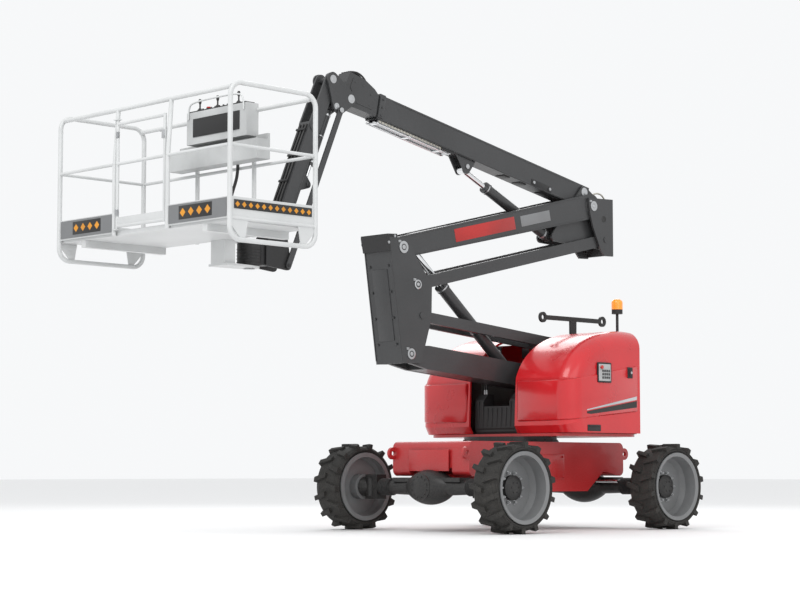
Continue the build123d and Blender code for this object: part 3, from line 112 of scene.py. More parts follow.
@dataclass(frozen=True)
class Finish:
    """A surface with blotches, dust that gathers low down, and a fine bump."""

    name: str
    colour: Colour
    roughness: float
    metallic: float = 0.0
    shade: float = 0.75
    dust: float = 0.25
    dust_colour: Colour = (0.30, 0.27, 0.23)
    grain: float = 90.0
    bump: float = 0.08
    coat: float = 0.0
    brushed: bool = False
    glow: float = 0.0

    def make(self) -> bpy.types.Material:
        """Builds the material.

        Returns:
            The finished node material.
        """
        material = bpy.data.materials.new(self.name)
        material.use_nodes = True
        tree = material.node_tree
        shader = tree.nodes["Principled BSDF"]
        fill(shader, {"Metallic": self.metallic, "Coat Weight": self.coat, "Coat Roughness": 0.12})
        place = tree.nodes.new("ShaderNodeTexCoord")
        source = place.outputs["Object"]
        if self.brushed:
            stretch = tree.nodes.new("ShaderNodeMapping")
            fill(stretch, {"Scale": (0.4, 6.0, 1.0)})
            tree.links.new(source, stretch.inputs["Vector"])
            source = stretch.outputs["Vector"]
        patch = self._noise(tree, source, PATCH_SCALE, PATCH_DETAIL)
        fine = self._noise(tree, source, self.grain, GRAIN_DETAIL)
        tone = tree.nodes.new("ShaderNodeMix")
        tone.data_type = "RGBA"
        fill(tone, {6: (*[c * self.shade for c in self.colour], 1.0), 7: (*self.colour, 1.0)})
        tree.links.new(self._band(tree, patch, 0.32, 0.62), tone.inputs[0])
        soil = tree.nodes.new("ShaderNodeMix")
        soil.data_type = "RGBA"
        fill(soil, {7: (*self.dust_colour, 1.0)})
        tree.links.new(tone.outputs[2], soil.inputs[6])
        tree.links.new(self._dust(tree, place.outputs["Object"], fine), soil.inputs[0])
        tree.links.new(soil.outputs[2], shader.inputs["Base Color"])
        gloss = tree.nodes.new("ShaderNodeMapRange")
        fill(gloss, {"To Min": max(self.roughness - 0.08, 0.03), "To Max": min(self.roughness + 0.14, 1.0)})
        tree.links.new(patch, gloss.inputs["Value"])
        tree.links.new(gloss.outputs["Result"], shader.inputs["Roughness"])
        relief = tree.nodes.new("ShaderNodeBump")
        fill(relief, {"Strength": self.bump, "Distance": BUMP_DEPTH})
        tree.links.new(fine, relief.inputs["Height"])
        tree.links.new(relief.outputs["Normal"], shader.inputs["Normal"])
        if self.glow > 0.0:
            fill(shader, {"Emission Color": (*self.colour, 1.0), "Emission Strength": self.glow})
        return material

    @staticmethod
    def _noise(tree: Tree, source: Socket, scale: float, detail: float) -> Socket:
        """Adds a noise texture and gives its value."""
        noise = tree.nodes.new("ShaderNodeTexNoise")
        fill(noise, {"Scale": scale, "Detail": detail})
        tree.links.new(source, noise.inputs["Vector"])
        return noise.outputs["Fac"]

    @staticmethod
    def _band(tree: Tree, value: Socket, low: float, high: float) -> Socket:
        """Stretches a value's middle band to the range from 0 to 1."""
        band = tree.nodes.new("ShaderNodeMapRange")
        fill(band, {"From Min": low, "From Max": high})
        tree.links.new(value, band.inputs["Value"])
        return band.outputs["Result"]

    def _dust(self, tree: Tree, place: Socket, fine: Socket) -> Socket:
        """Gives how much dust lies on a point: more low down, broken up by the grain.

        Args:
            tree: The material's nodes.
            place: The object coordinates.
            fine: The fine noise.

        Returns:
            A value from 0 to the finish's dust.
        """
        height = tree.nodes.new("ShaderNodeSeparateXYZ")
        tree.links.new(place, height.inputs["Vector"])
        low = tree.nodes.new("ShaderNodeMapRange")
        fill(
            low,
            {"From Min": DUST_FREE_Z, "From Max": DUSTY_Z, "To Min": 0.25 * self.dust, "To Max": self.dust},
        )
        tree.links.new(height.outputs["Z"], low.inputs["Value"])
        broken = tree.nodes.new("ShaderNodeMath")
        broken.operation = "MULTIPLY"
        tree.links.new(low.outputs["Result"], broken.inputs[0])
        tree.links.new(self._band(tree, fine, 0.35, 0.6), broken.inputs[1])
        return broken.outputs["Value"]


class Palette:
    """Every finish of the machine, made once and looked up by the record's slot."""

    FINISHES = (
        Finish("red_paint", (0.47, 0.008, 0.012), 0.34, shade=0.82, dust=0.10, coat=0.35, bump=0.04),
        Finish("red_hood", (0.60, 0.008, 0.014), 0.27, shade=0.88, dust=0.04, coat=0.5, bump=0.03),
        Finish("dark_paint", (0.036, 0.037, 0.039), 0.40, shade=0.78, dust=0.07, coat=0.15),
        Finish("black_paint", (0.010, 0.010, 0.011), 0.44, dust=0.08),
        Finish("grey_paint", (0.60, 0.61, 0.61), 0.38, shade=0.90, dust=0.06, coat=0.1),
        # Darker grey of the front toe boards' sheet: their galvanised grey with painted shade in it.
        Finish("toe_grey_painted_shade", (0.17, 0.175, 0.18), 0.40, shade=0.88, dust=0.05, coat=0.1),
        Finish("rim_paint", (0.19, 0.195, 0.20), 0.42, shade=0.82, dust=0.10),
        Finish("black_plastic", (0.013, 0.013, 0.014), 0.55, dust=0.06, grain=260.0, bump=0.22),
        Finish("cast", (0.07, 0.07, 0.068), 0.62, dust=0.3, grain=150.0, bump=0.35),
        Finish("weight_red", (0.53, 0.008, 0.013), 0.34, dust=0.06, grain=120.0, bump=0.10, coat=0.35),
        Finish("steel", (0.55, 0.56, 0.57), 0.32, metallic=1.0, shade=0.8, dust=0.12, brushed=True),
        Finish("rod_chrome", (0.80, 0.81, 0.82), 0.12, metallic=1.0, shade=0.92, dust=0.04, bump=0.01),
        Finish("tyre", (0.011, 0.011, 0.011), 0.80, shade=0.8, dust=0.12, grain=140.0, bump=0.4),
        Finish("amber", (0.95, 0.30, 0.02), 0.16, dust=0.05, bump=0.02, coat=0.6, glow=0.25),
        Finish("console_grey", (0.52, 0.53, 0.53), 0.48, dust=0.08, grain=220.0, bump=0.12),
        Finish("hose_black", (0.014, 0.014, 0.015), 0.50, dust=0.2, grain=200.0, bump=0.3),
        Finish("pale_cable", (0.48, 0.46, 0.40), 0.50, dust=0.2, bump=0.1),
        Finish("plain_red_bar", (0.45, 0.018, 0.016), 0.36, dust=0.08, bump=0.02),
        Finish("bare_plate", (0.20, 0.205, 0.21), 0.38, dust=0.1, bump=0.03),
        Finish("sign_amber", (0.72, 0.29, 0.012), 0.42, dust=0.05, bump=0.03),
        Finish("sign_black", (0.012, 0.012, 0.012), 0.42, dust=0.1, bump=0.03),
        Finish("silver_tape", (0.62, 0.63, 0.65), 0.30, metallic=0.6, dust=0.1),
        Finish("switch_red", (0.60, 0.015, 0.012), 0.30, dust=0.05, coat=0.4),
        Finish("switch_green", (0.03, 0.26, 0.06), 0.32, dust=0.05, coat=0.4),
    )

    def __init__(self) -> None:
        """Makes every material."""
        self.materials = {finish.name: finish.make() for finish in self.FINISHES}

    def __getitem__(self, name: str) -> bpy.types.Material:
        """Gives a material by its finish's name."""
        return self.materials[name]

    def dress_nodes(self, record: dict) -> None:
        """Gives each CAD node the finish of its slot."""
        for part in record["subparts"]:
            node = bpy.data.objects.get(part["node"])
            if node is None:
                continue
            for slot in node.material_slots:
                slot.material = self[part["material_slot"]]


@dataclass(frozen=True)
class SideLine:
    """A sloping line in side view: distances along it, square to it, and to the left."""

    origin: Vector
    angle: float

    @classmethod
    def between(cls, start: Vector, end: Vector) -> SideLine:
        """Makes the line from one pin to another."""
        return cls(start, math.atan2(end.z - start.z, end.x - start.x))

    def at(self, along: float, square: float = 0.0, left: float = 0.0) -> Vector:
        """Gives a point in the machine's frame.

        Args:
            along: Distance along the line.
            square: Distance square to it, upwards.
            left: Distance to the machine's left.

        Returns:
            The point.
        """
        cos, sin = math.cos(self.angle), math.sin(self.angle)
        shift = Vector((along * cos - square * sin, left, along * sin + square * cos))
        return Vector((self.origin.x, 0.0, self.origin.z)) + shift

    def matrix(self, along: float = 0.0, square: float = 0.0, left: float = 0.0) -> Matrix:
        """Gives the transform whose X runs along the line and whose Z is square to it."""
        return Matrix.Translation(self.at(along, square, left)) @ Matrix.Rotation(-self.angle, 4, "Y")


class Mould:
    """A mesh under construction, with the shapes the sub-assemblies ask for."""

    def __init__(self, palette: Palette) -> None:
        """Opens an empty mesh.

        Args:
            palette: The finishes.
        """
        self.palette = palette
        self.mesh = bmesh.new()

    def _fresh(
        self, verts: Iterable[bmesh.types.BMVert], matrix: Matrix, bevel: float, segments: int = 2
    ) -> None:
        """Bevels the newest shape and puts it in its place."""
        verts = list(verts)
        if bevel > 0.0:
            edges = list({edge for vert in verts for edge in vert.link_edges})
            sharp = [edge for edge in edges if edge.calc_face_angle(0.0) > BEVEL_TURN]
            done = bmesh.ops.bevel(
                self.mesh,
                geom=sharp,
                offset=bevel,
                segments=segments,
                profile=0.5,
                affect="EDGES",
                material=-1,
            )
            verts = list({v for v in verts if v.is_valid} | set(done["verts"]))
        bmesh.ops.transform(self.mesh, matrix=matrix, verts=verts)

    def block(self, size: Point, matrix: Matrix, bevel: float = 0.002) -> Mould:
        """Adds a bevelled block."""
        made = bmesh.ops.create_cube(self.mesh, size=1.0)
        bmesh.ops.scale(self.mesh, vec=size, verts=made["verts"])
        self._fresh(made["verts"], matrix, bevel)
        return self

    def round_bar(
        self, start: Vector, end: Vector, radius: float, sides: int = 24, bevel: float = 0.001,
        top: float | None = None,
    ) -> Mould:
        """Adds a round bar, or a cone, between two points.

        Args:
            start: Centre of the first end.
            end: Centre of the other end.
            radius: Radius at the start.
            sides: Sides of the round.
            bevel: Width of the rounded rims.
            top: Radius at the end, when it differs.

        Returns:
            The mould itself.
        """
        run = end - start
        turn = run.to_track_quat("Z", "Y").to_matrix().to_4x4()
        made = bmesh.ops.create_cone(
            self.mesh,
            cap_ends=True,
            segments=sides,
            radius1=radius,
            radius2=radius if top is None else top,
            depth=run.length,
        )
        self._fresh(made["verts"], Matrix.Translation((start + end) / 2) @ turn, bevel)
        return self

    def turned(self, profile: Sequence[Pair], centre: Vector, axis: Vector, sides: int = 48) -> Mould:
        """Adds a shape turned about an axis from (radius, distance along it) points."""
        turn = axis.to_track_quat("Z", "Y").to_matrix().to_4x4()
        verts = [self.mesh.verts.new((radius, 0.0, height)) for radius, height in profile]
        edges = [self.mesh.edges.new(two) for two in zip(verts, verts[1:])]
        bmesh.ops.spin(
            self.mesh,
            geom=verts + edges,
            cent=(0, 0, 0),
            axis=(0, 0, 1),
            angle=2 * math.pi,
            steps=sides,
            use_merge=True,
        )
        place = Matrix.Translation(centre) @ turn
        bmesh.ops.transform(self.mesh, matrix=place, verts=list(self._island(verts[0])))
        return self

    @staticmethod
    def _island(seed: bmesh.types.BMVert) -> set[bmesh.types.BMVert]:
        """Gives every vertex joined to one of them."""
        found, todo = {seed}, [seed]
        while todo:
            for edge in todo.pop().link_edges:
                for vert in edge.verts:
                    if vert not in found:
                        found.add(vert)
                        todo.append(vert)
        return found

    def slab(self, outline: Sequence[Pair], thickness: float, matrix: Matrix, bevel: float = 0.001) -> Mould:
        """Adds a flat plate: its outline lies in X and Z, and its thickness runs along -Y."""
        verts = [self.mesh.verts.new((x, 0.0, z)) for x, z in outline]
        face = self.mesh.faces.new(verts)
        grown = bmesh.ops.extrude_face_region(self.mesh, geom=[face])
        moved = [v for v in grown["geom"] if isinstance(v, bmesh.types.BMVert)]
        bmesh.ops.translate(self.mesh, vec=(0.0, -thickness, 0.0), verts=moved)
        self._fresh(verts + moved, matrix, bevel, 1)
        return self

    def bolt(self, seat: Vector, axis: Vector, radius: float, height: float) -> Mould:
        """Adds a hexagon head on a washer."""
        way = axis.normalized()
        self.round_bar(seat, seat + way * height * 0.2, radius * 1.35, 16, 0.0)
        return self.round_bar(seat + way * height * 0.2, seat + way * height, radius, 6, height * 0.12)

    def button(self, seat: Vector, way: Vector, height: float, neck: float, knob: float) -> None:
        """Adds a stop button: a neck and the wider knob on it."""
        self.round_bar(seat, seat + way * BUTTON_NECK, neck, 24)
        self.round_bar(seat + way * BUTTON_NECK, seat + way * height, knob, 32, 0.005)

    def close(self, name: str, finish: str, body: str, slot: str = "") -> bpy.types.Object:
        """Ends the mesh and makes it a piece that rides on a body.

        Args:
            name: Name of the piece.
            finish: Its finish.
            body: The CAD body it rides on.
            slot: Not used; the record's slot nearest to its finish, when the finish isn't one.

        Returns:
            The piece.
        """
        bmesh.ops.remove_doubles(self.mesh, verts=self.mesh.verts, dist=WELD_GAP)
        bmesh.ops.recalc_face_normals(self.mesh, faces=self.mesh.faces)
        data = bpy.data.meshes.new(name)
        self.mesh.to_mesh(data)
        self.mesh.free()
        for face in data.polygons:
            face.use_smooth = True
        data.set_sharp_from_angle(angle=SMOOTH_TURN)
        data.materials.append(self.palette[finish])
        piece = bpy.data.objects.new(name, data)
        bpy.context.scene.collection.objects.link(piece)
        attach(piece, body)
        LOG.info("%s rides on %s", name, body)
        return piece


@dataclass
class Kit:
    """What every sub-assembly needs: the finishes and the joints' places."""

    palette: Palette
    joints: dict[str, Vector]

    def pin(self, joint: str) -> Vector:
        """Gives the place of a joint's pin."""
        return self.joints[joint].copy()

    def hose(
        self, name: str, points: Sequence[Vector], radius: float, body: str, finish: str = "hose_black"
    ) -> None:
        """Adds a clipped hose along control points, as a tube on a smooth curve.

        Args:
            name: Name of the piece.
            points: Control points of its line.
            radius: Radius of the hose.
            body: The CAD body it rides on.
            finish: Its finish.
        """
        curve = bpy.data.curves.new(name, "CURVE")
        curve.dimensions = "3D"
        curve.bevel_depth = radius
        curve.bevel_resolution = 3
        curve.resolution_u = 8
        curve.use_fill_caps = True
        line = curve.splines.new("NURBS")
        line.points.add(len(points) - 1)
        for spot, point in zip(line.points, points):
            spot.co = (*point, 1.0)
        line.order_u = 3
        line.use_endpoint_u = True
        curve.materials.append(self.palette[finish])
        piece = bpy.data.objects.new(name, curve)
        bpy.context.scene.collection.objects.link(piece)
        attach(piece, body)
        LOG.info("%s rides on %s", name, body)


@dataclass
class Assembly:
    """A group of pieces that dresses one region of the machine."""

    kit: Kit

    def mould(self) -> Mould:
        """Opens an empty mesh."""
        return Mould(self.kit.palette)


@dataclass
class Wheels(Assembly):
    """Nuts, caps and sidewall rings of the four wheels."""

    nut_circle: float = 0.1375
    nut_count: int = 10
    nut_radius: float = 0.0145
    nut_height: float = 0.024
    stud_end: float = 0.034
    stud_radius: float = 0.0075
    cap_bolts: int = 6
    cap_circle: float = 0.050
    ring_radii: Pair = (0.348, 0.366)
    disc_y: float = 1.005
    wall_y: float = 1.176

    def build(self) -> None:
        """Dresses each wheel."""
        for corner in Corner:
            centre = self.kit.pin(corner.value + "_wheel")
            out = aside(corner.hand)
            body = "wheel_" + corner.value
            self._nuts(corner, centre, out, body)
            self._cap(corner, centre, out, body)
            self._sidewall(corner, centre, out, body)

    def _nuts(self, corner: Corner, centre: Vector, out: Vector, body: str) -> None:
        """Sets the wheel nuts on their bolt circle."""
        nuts = self.mould()
        for cos, sin in round_turns(self.nut_count):
            seat = Vector((centre.x, corner.hand * self.disc_y, centre.z))
            seat += Vector((cos, 0, sin)) * self.nut_circle
            nuts.bolt(seat, out, self.nut_radius, self.nut_height)
            nuts.round_bar(seat + out * self.nut_height, seat + out * self.stud_end, self.stud_radius, 12)
        nuts.close("wheel_nuts_" + corner.value, "steel", body)

    def _cap(self, corner: Corner, centre: Vector, out: Vector, body: str) -> None:
        """Covers the hub with a ribbed black cap and its small bolts."""
        base = Vector((centre.x, corner.hand * (self.disc_y + 0.0005), centre.z))
        cap = self.mould()
        profile = ((0.0, 0.058), (0.062, 0.058), (0.078, 0.052), (0.092, 0.046), (0.104, 0.040))
        cap.turned(profile + ((0.1125, 0.034), (0.1125, 0.0), (0.0, 0.0)), base, out, 64)
        for cos, sin in round_turns(self.cap_bolts):
            way = Vector((cos, 0, sin)) * self.cap_circle
            cap.bolt(base + way + out * 0.057, out, 0.0065, 0.007)
        cap.close("hub_cap_" + corner.value, "black_paint", body)

    def _sidewall(self, corner: Corner, centre: Vector, out: Vector, body: str) -> None:
        """Raises the two rings that run round the tyre's outer wall."""
        wall = Vector((centre.x, corner.hand * self.wall_y, centre.z))
        rings = self.mould()
        for radius in self.ring_radii:
            rings.turned(
                (
                    (radius - 0.005, -0.010), (radius - 0.002, 0.0025), (radius + 0.003, 0.0025),
                    (radius + 0.006, -0.010), (radius - 0.005, -0.010),
                ),
                wall,
                out,
                96,
            )
        rings.close("tyre_rings_" + corner.value, "tyre", body)


@dataclass
class Undercarriage(Assembly):
    """Bellows, steering rods and plate details of the chassis."""

    axle_z: float = 0.412
    bellows: tuple[float, float] = (0.50, 0.655)
    rod_ahead: float = 0.15
    rod_z: float = 0.46
    rod_reach: float = 0.56
    ram_reach: float = 0.26
    ram_ear: float = 0.16
    folds: int = 7
    cover_bolts: int = 12
    cover_circle: float = 0.098
    side_y: float = 0.5
    plate_z: float = 0.60
    ring_bolts: int = 24
    ring_circle: float = 0.452
    ring_top: float = 0.852

    def build(self) -> None:
        """Dresses both axles and the frame."""
        for name, joint in (("front", "front_left_wheel"), ("rear", "rear_left_wheel")):
            x = self.kit.pin(joint).x
            self._axle(name, x, 1 if name == "rear" else -1)
        self._frame()

    def _axle(self, name: str, x: float, inward: int) -> None:
        """Adds bellows, the steering rod, its cylinder and the bolted cover to one axle."""
        boots = self.mould()
        for hand in (1, -1):
            start, end = self.bellows
            profile = [(0.060, 0.0)]
            step = (end - start) / self.folds
            for fold in range(self.folds):
                profile += [
                    (0.082, step * (fold + 0.25)), (0.082, step * (fold + 0.45)), (0.068, step * (fold + 0.9))
                ]
            profile += [(0.060, end - start)]
            boots.turned(profile, Vector((x, hand * start, self.axle_z)), aside(hand), 40)
        boots.close(name + "_axle_bellows", "black_plastic", "chassis")
        rod = self.mould()
        rod_x = x + inward * self.rod_ahead
        middle = Vector((rod_x, 0, self.rod_z))
        rod.round_bar(middle + aside(-self.rod_reach), middle + aside(self.rod_reach), 0.014)
        rod.close(name + "_steering_rod", "rod_chrome", "chassis")
        ram = self.mould()
        ram.round_bar(middle + aside(-self.ram_reach), middle + aside(self.ram_reach), 0.036, 32, 0.003)
        for y in (-self.ram_reach, self.ram_reach):
            ram.round_bar(middle + aside(y - 0.018), middle + aside(y + 0.018), 0.042, 32, 0.003)
        for y in (-self.ram_ear, self.ram_ear):
            ram.block((0.13, 0.03, 0.03), put(x + inward * 0.10, y, self.rod_z), 0.003)
        ram.close(name + "_steering_cylinder", "black_paint", "chassis")
        case = self.mould()
        outward = Vector((-inward, 0, 0))
        for cos, sin in round_turns(self.cover_bolts, 0.5):
            seat = Vector((x - inward * 0.148, 0, self.axle_z)) + Vector((0, cos, sin)) * self.cover_circle
            case.bolt(seat, outward, 0.009, 0.014)
        cover = Vector((x - inward * 0.135, 0, self.axle_z))
        case.turned(
            ((0.0, 0.040), (0.06, 0.038), (0.10, 0.020), (0.125, 0.012), (0.125, 0.0), (0.0, 0.0)),
            cover,
            outward,
        )
        case.close(name + "_axle_cover", "black_paint", "chassis")

    def _frame(self) -> None:
        """Adds bolted plates to the frame and bolts to the slew ring."""
        low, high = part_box("chassis_frame")
        middle = (low[0] + high[0]) / 2
        plates = self.mould()
        for hand in (1, -1):
            y = hand * self.side_y
            plates.block((0.42, 0.008, 0.24), put(middle, y + hand * 0.003, self.plate_z), 0.003)
            for dx in (-0.185, 0.185):
                for dz in (-0.095, 0.095):
                    seat = Vector((middle + dx, y + hand * 0.007, self.plate_z + dz))
                    plates.bolt(seat, aside(hand), 0.009, 0.010)
        for end in (-1, 1):
            x = low[0] + 0.06 if end < 0 else high[0] - 0.06
            plates.block((0.012, 0.52, 0.20), put(x + end * 0.003, 0, 0.66), 0.004)
        plates.close("frame_cover_plates", "red_paint", "chassis")
        ring = self.mould()
        centre = self.kit.pin("slew")
        for cos, sin in round_turns(self.ring_bolts):
            seat = Vector((centre.x + self.ring_circle * cos, self.ring_circle * sin, self.ring_top))
            ring.round_bar(seat, seat + UP * 0.012, 0.010, 6, 0.001)
        ring.turned(
            ((0.45, 0.838), (0.468, 0.838), (0.468, self.ring_top), (0.45, self.ring_top)),
            Vector((centre.x, 0, 0)),
            UP,
            96,
        )
        ring.close("slew_ring_bolts", "black_paint", "chassis")


@dataclass
class Hoods(Assembly):
    """Creases, latches, stripes and hinges of the two moulded hoods."""

    side_y: float = 1.0
    inner_y: float = 0.33
    corner: float = 0.17
    band_low: Pair = (1.045, 1.15)
    band_high: Pair = (1.40, 1.56)
    proud: float = 0.007
    lip: float = 0.014
    tuck_in: float = 0.010
    wall: float = 0.004
    corner_steps: int = 8
    sticker: float = 0.0012

    def build(self) -> None:
        """Dresses both hoods."""
        for hand, body, node in ((1, "left_hood", "hood_left"), (-1, "right_hood", "hood_right")):
            low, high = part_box(node)
            self._band(hand, body, low[0], high[0])
            self._fittings(hand, body, low[0], high[0])
            self._stripe(hand, body, low[0])

    def _outline(self, hand: int, rear: float, front: float) -> list[Pair]:
        """Gives the hood's plan from the inner front corner round to the rear seam."""
        centre = (front - self.corner, self.side_y - self.corner)
        out = self.corner + self.proud
        plan = [(front + self.proud - 0.012, self.inner_y), (front + self.proud, self.inner_y + 0.02)]
        for step in range(self.corner_steps + 1):
            turn = math.pi / 2 * step / self.corner_steps
            plan.append((centre[0] + out * math.cos(turn), centre[1] + out * math.sin(turn)))
        plan += [(rear + 0.05, self.side_y + self.proud), (rear + 0.03, self.side_y + self.proud - 0.010)]
        return [(x, hand * y) for x, y in plan]

    def _band(self, hand: int, body: str, rear: float, front: float) -> None:
        """Wraps the raised middle band, whose edges are the two creases."""
        plan = self._outline(hand, rear, front)
        band = self.mould()
        rows: list[list[bmesh.types.BMVert]] = [[], [], [], []]
        for x, y in plan:
            share = min(max((front - x) / (front - rear), 0.0), 1.0)
            low = self.band_low[0] + share * (self.band_low[1] - self.band_low[0])
            high = self.band_high[0] + share * (self.band_high[1] - self.band_high[0])
            tuck = Vector((front - self.corner, hand * (self.side_y - self.corner)))
            inward = (tuck - Vector((x, y))).normalized() * self.tuck_in
            inside = (x + inward.x, y + inward.y)
            spots = ((*inside, low - self.lip), (x, y, low), (x, y, high), (*inside, high + self.lip))
            for row, spot in zip(rows, spots):
                row.append(band.mesh.verts.new(spot))
        for below, above in zip(rows, rows[1:]):
            pairs = [two for row in (below, above) for two in zip(row, row[1:])]
            edges = {band.mesh.edges.get(two) or band.mesh.edges.new(two) for two in pairs}
            bmesh.ops.bridge_loops(band.mesh, edges=list(edges))
        piece = band.close("hood_band_" + body, "red_hood", body)
        wall = piece.modifiers.new("wall", "SOLIDIFY")
        wall.thickness = self.wall
        wall.offset = -1.0

    def _fittings(self, hand: int, body: str, rear: float, front: float) -> None:
        """Adds the latch, the grip recess, the lock and two hinges."""
        out = aside(hand)
        dark = self.mould()
        latch = Vector((rear + 0.16, hand * (self.side_y + self.proud), 1.50))
        dark.block((0.075, 0.014, 0.105), put(*latch), 0.005)
        dark.block((0.045, 0.024, 0.070), Matrix.Translation(latch + out * 0.006), 0.006)
        grip = Vector((front - 0.34, hand * (self.side_y + 0.001), 0.965))
        dark.block((0.19, 0.010, 0.060), put(*grip), 0.004)
        dark.block((0.16, 0.022, 0.018), Matrix.Translation(grip + UP * 0.020), 0.005)
        for x in (rear + 0.20, front - 0.42):
            hinge = Vector((x, hand * 0.302, 1.74))
            dark.block((0.10, 0.012, 0.10), put(*hinge), 0.003)
        dark.close("hood_fittings_" + body, "black_plastic", body)
        key = self.mould()
        key.round_bar(latch + out * 0.018, latch + out * 0.024, 0.013, 20)
        key.close("hood_lock_" + body, "steel", body)

    def _stripe(self, hand: int, body: str, rear: float) -> None:
        """Lays the plain black and silver wedges along the lower crease."""
        place = put(rear, hand * (self.side_y + self.proud + self.sticker) + self.sticker / 2, 0)
        dark = self.mould()
        dark.slab(
            ((0.06, 1.170), (0.74, 1.095), (0.80, 1.100), (0.80, 1.118), (0.06, 1.232)),
            self.sticker,
            place,
            0.0,
        )
        dark.close("hood_stripe_" + body, "sign_black", body, "black_paint")
        pale = self.mould()
        pale.slab(((0.06, 1.244), (0.80, 1.128), (0.80, 1.137), (0.06, 1.276)), self.sticker, place, 0.0)
        pale.close("hood_stripe_pale_" + body, "silver_tape", body, "steel")


@dataclass
class GroundPanel(Assembly):
    """The ground controls on the left hood."""

    columns: int = 4
    rows: int = 3

    def build(self) -> None:
        """Adds the bezel, the switches and the stop button."""
        low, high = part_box("control_panel")
        x, z, y = (low[0] + high[0]) / 2, (low[2] + high[2]) / 2, high[1]
        bezel = self.mould()
        bezel.block((0.172, 0.006, 0.160), put(x, y + 0.001, z), 0.003)
        bezel.close("panel_bezel", "console_grey", "left_hood")
        keys = self.mould()
        for column in range(self.columns):
            for row in range(self.rows):
                spot = Vector((x - 0.060 + 0.030 * column, y + 0.004, z - 0.048 + 0.032 * row))
                keys.block((0.018, 0.010, 0.022), put(*spot), 0.003)
        keys.close("panel_switches", "black_plastic", "left_hood")
        stop = self.mould()
        seat = Vector((x + 0.062, y + 0.003, z + 0.048))
        stop.button(seat, aside(1), 0.026, 0.009, 0.019)
        stop.close("panel_stop_button", "switch_red", "left_hood", "red_paint")


@dataclass
class TurretFront(Assembly):
    """The moulded front cover with its hoses, the beacon and the counterweight's tail."""

    rib_count: int = 9
    rib_foot: float = 0.985
    hose_places: tuple[float, ...] = (-0.232, -0.205, 0.205, 0.232)
    hose_back: float = 0.085
    slat_count: int = 8
    tail_y: float = 0.49

    def build(self) -> None:
        """Dresses the space between the hoods."""
        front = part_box("front_cover")[1][0]
        ribs = self.mould()
        for index in range(self.rib_count):
            y = -0.24 + 0.06 * index
            top = 1.17 if abs(y) < 0.18 else 1.235
            ribs.block(
                (0.016, 0.018, top - self.rib_foot), put(front - 0.006, y, (top + self.rib_foot) / 2), 0.005
            )
        ribs.block((0.012, 0.54, 0.03), put(front - 0.012, 0, 0.948), 0.005)
        ribs.close("cover_ribs", "black_plastic", "turret")
        fittings = self.mould()
        for y in self.hose_places:
            base = Vector((front - self.hose_back, y, 1.300))
            fittings.round_bar(base, base + UP * 0.040, 0.011, 6, 0.001)
            fittings.round_bar(base + UP * 0.04, base + UP * 0.058, 0.008, 20)
        fittings.close("cover_fittings", "steel", "turret")
        for index, y in enumerate(self.hose_places):
            start = Vector((front - self.hose_back, y, 1.350))
            steps = ((0, 0), (0, 0.12), (-0.14, 0.20), (-0.36, 0.19), (-0.46, 0.02))
            line = [start + Vector((dx, 0, dz)) for dx, dz in steps]
            self.kit.hose(f"front_hose_{index + 1}", line, 0.0095, "turret")
        self._beacon()
        self._tail()

    def _beacon(self) -> None:
        """Gives the beacon's lens its collar and its rings."""
        low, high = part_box("beacon_lens")
        centre = Vector(((low[0] + high[0]) / 2, (low[1] + high[1]) / 2, low[2]))
        base = self.mould()
        base.turned(
            ((0.030, -0.03), (0.049, -0.028), (0.050, 0.004), (0.044, 0.008), (0.030, 0.008), (0.030, -0.03)),
            centre,
            UP,
        )
        base.close("beacon_collar", "black_plastic", "turret")
        lens = self.mould()
        for index in range(5):
            lens.turned(
                ((0.041, 0.0), (0.0438, 0.002), (0.041, 0.004)),
                centre + Vector((0, 0, 0.012 + 0.009 * index)),
                UP,
            )
        lens.close("beacon_rings", "amber", "turret")

    def _tail(self) -> None:
        """Adds bolts, grille slats and lamps to the counterweight."""
        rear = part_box("counterweight")[0][0]
        bolts = self.mould()
        for y in (-0.62, -0.36, 0.36, 0.62):
            for z in (1.15, 1.60):
                bolts.bolt(Vector((rear - 0.001, y, z)), Vector((-1, 0, 0)), 0.022, 0.026)
        bolts.close("counterweight_bolts", "steel", "turret")
        slats = self.mould()
        for hand in (-1, 1):
            for index in range(self.slat_count):
                slats.block((0.010, 0.20, 0.012), put(rear, hand * self.tail_y, 1.26 + 0.030 * index), 0.003)
        slats.close("counterweight_slats", "black_plastic", "turret")
        lamps = self.mould()
        for hand in (-1, 1):
            seat = Vector((rear + 0.001, hand * self.tail_y, 1.05))
            lamps.round_bar(seat, seat + Vector((-0.012, 0, 0)), 0.035, 32, 0.004)
        lamps.close("tail_lamps", "switch_red", "turret", "red_paint")


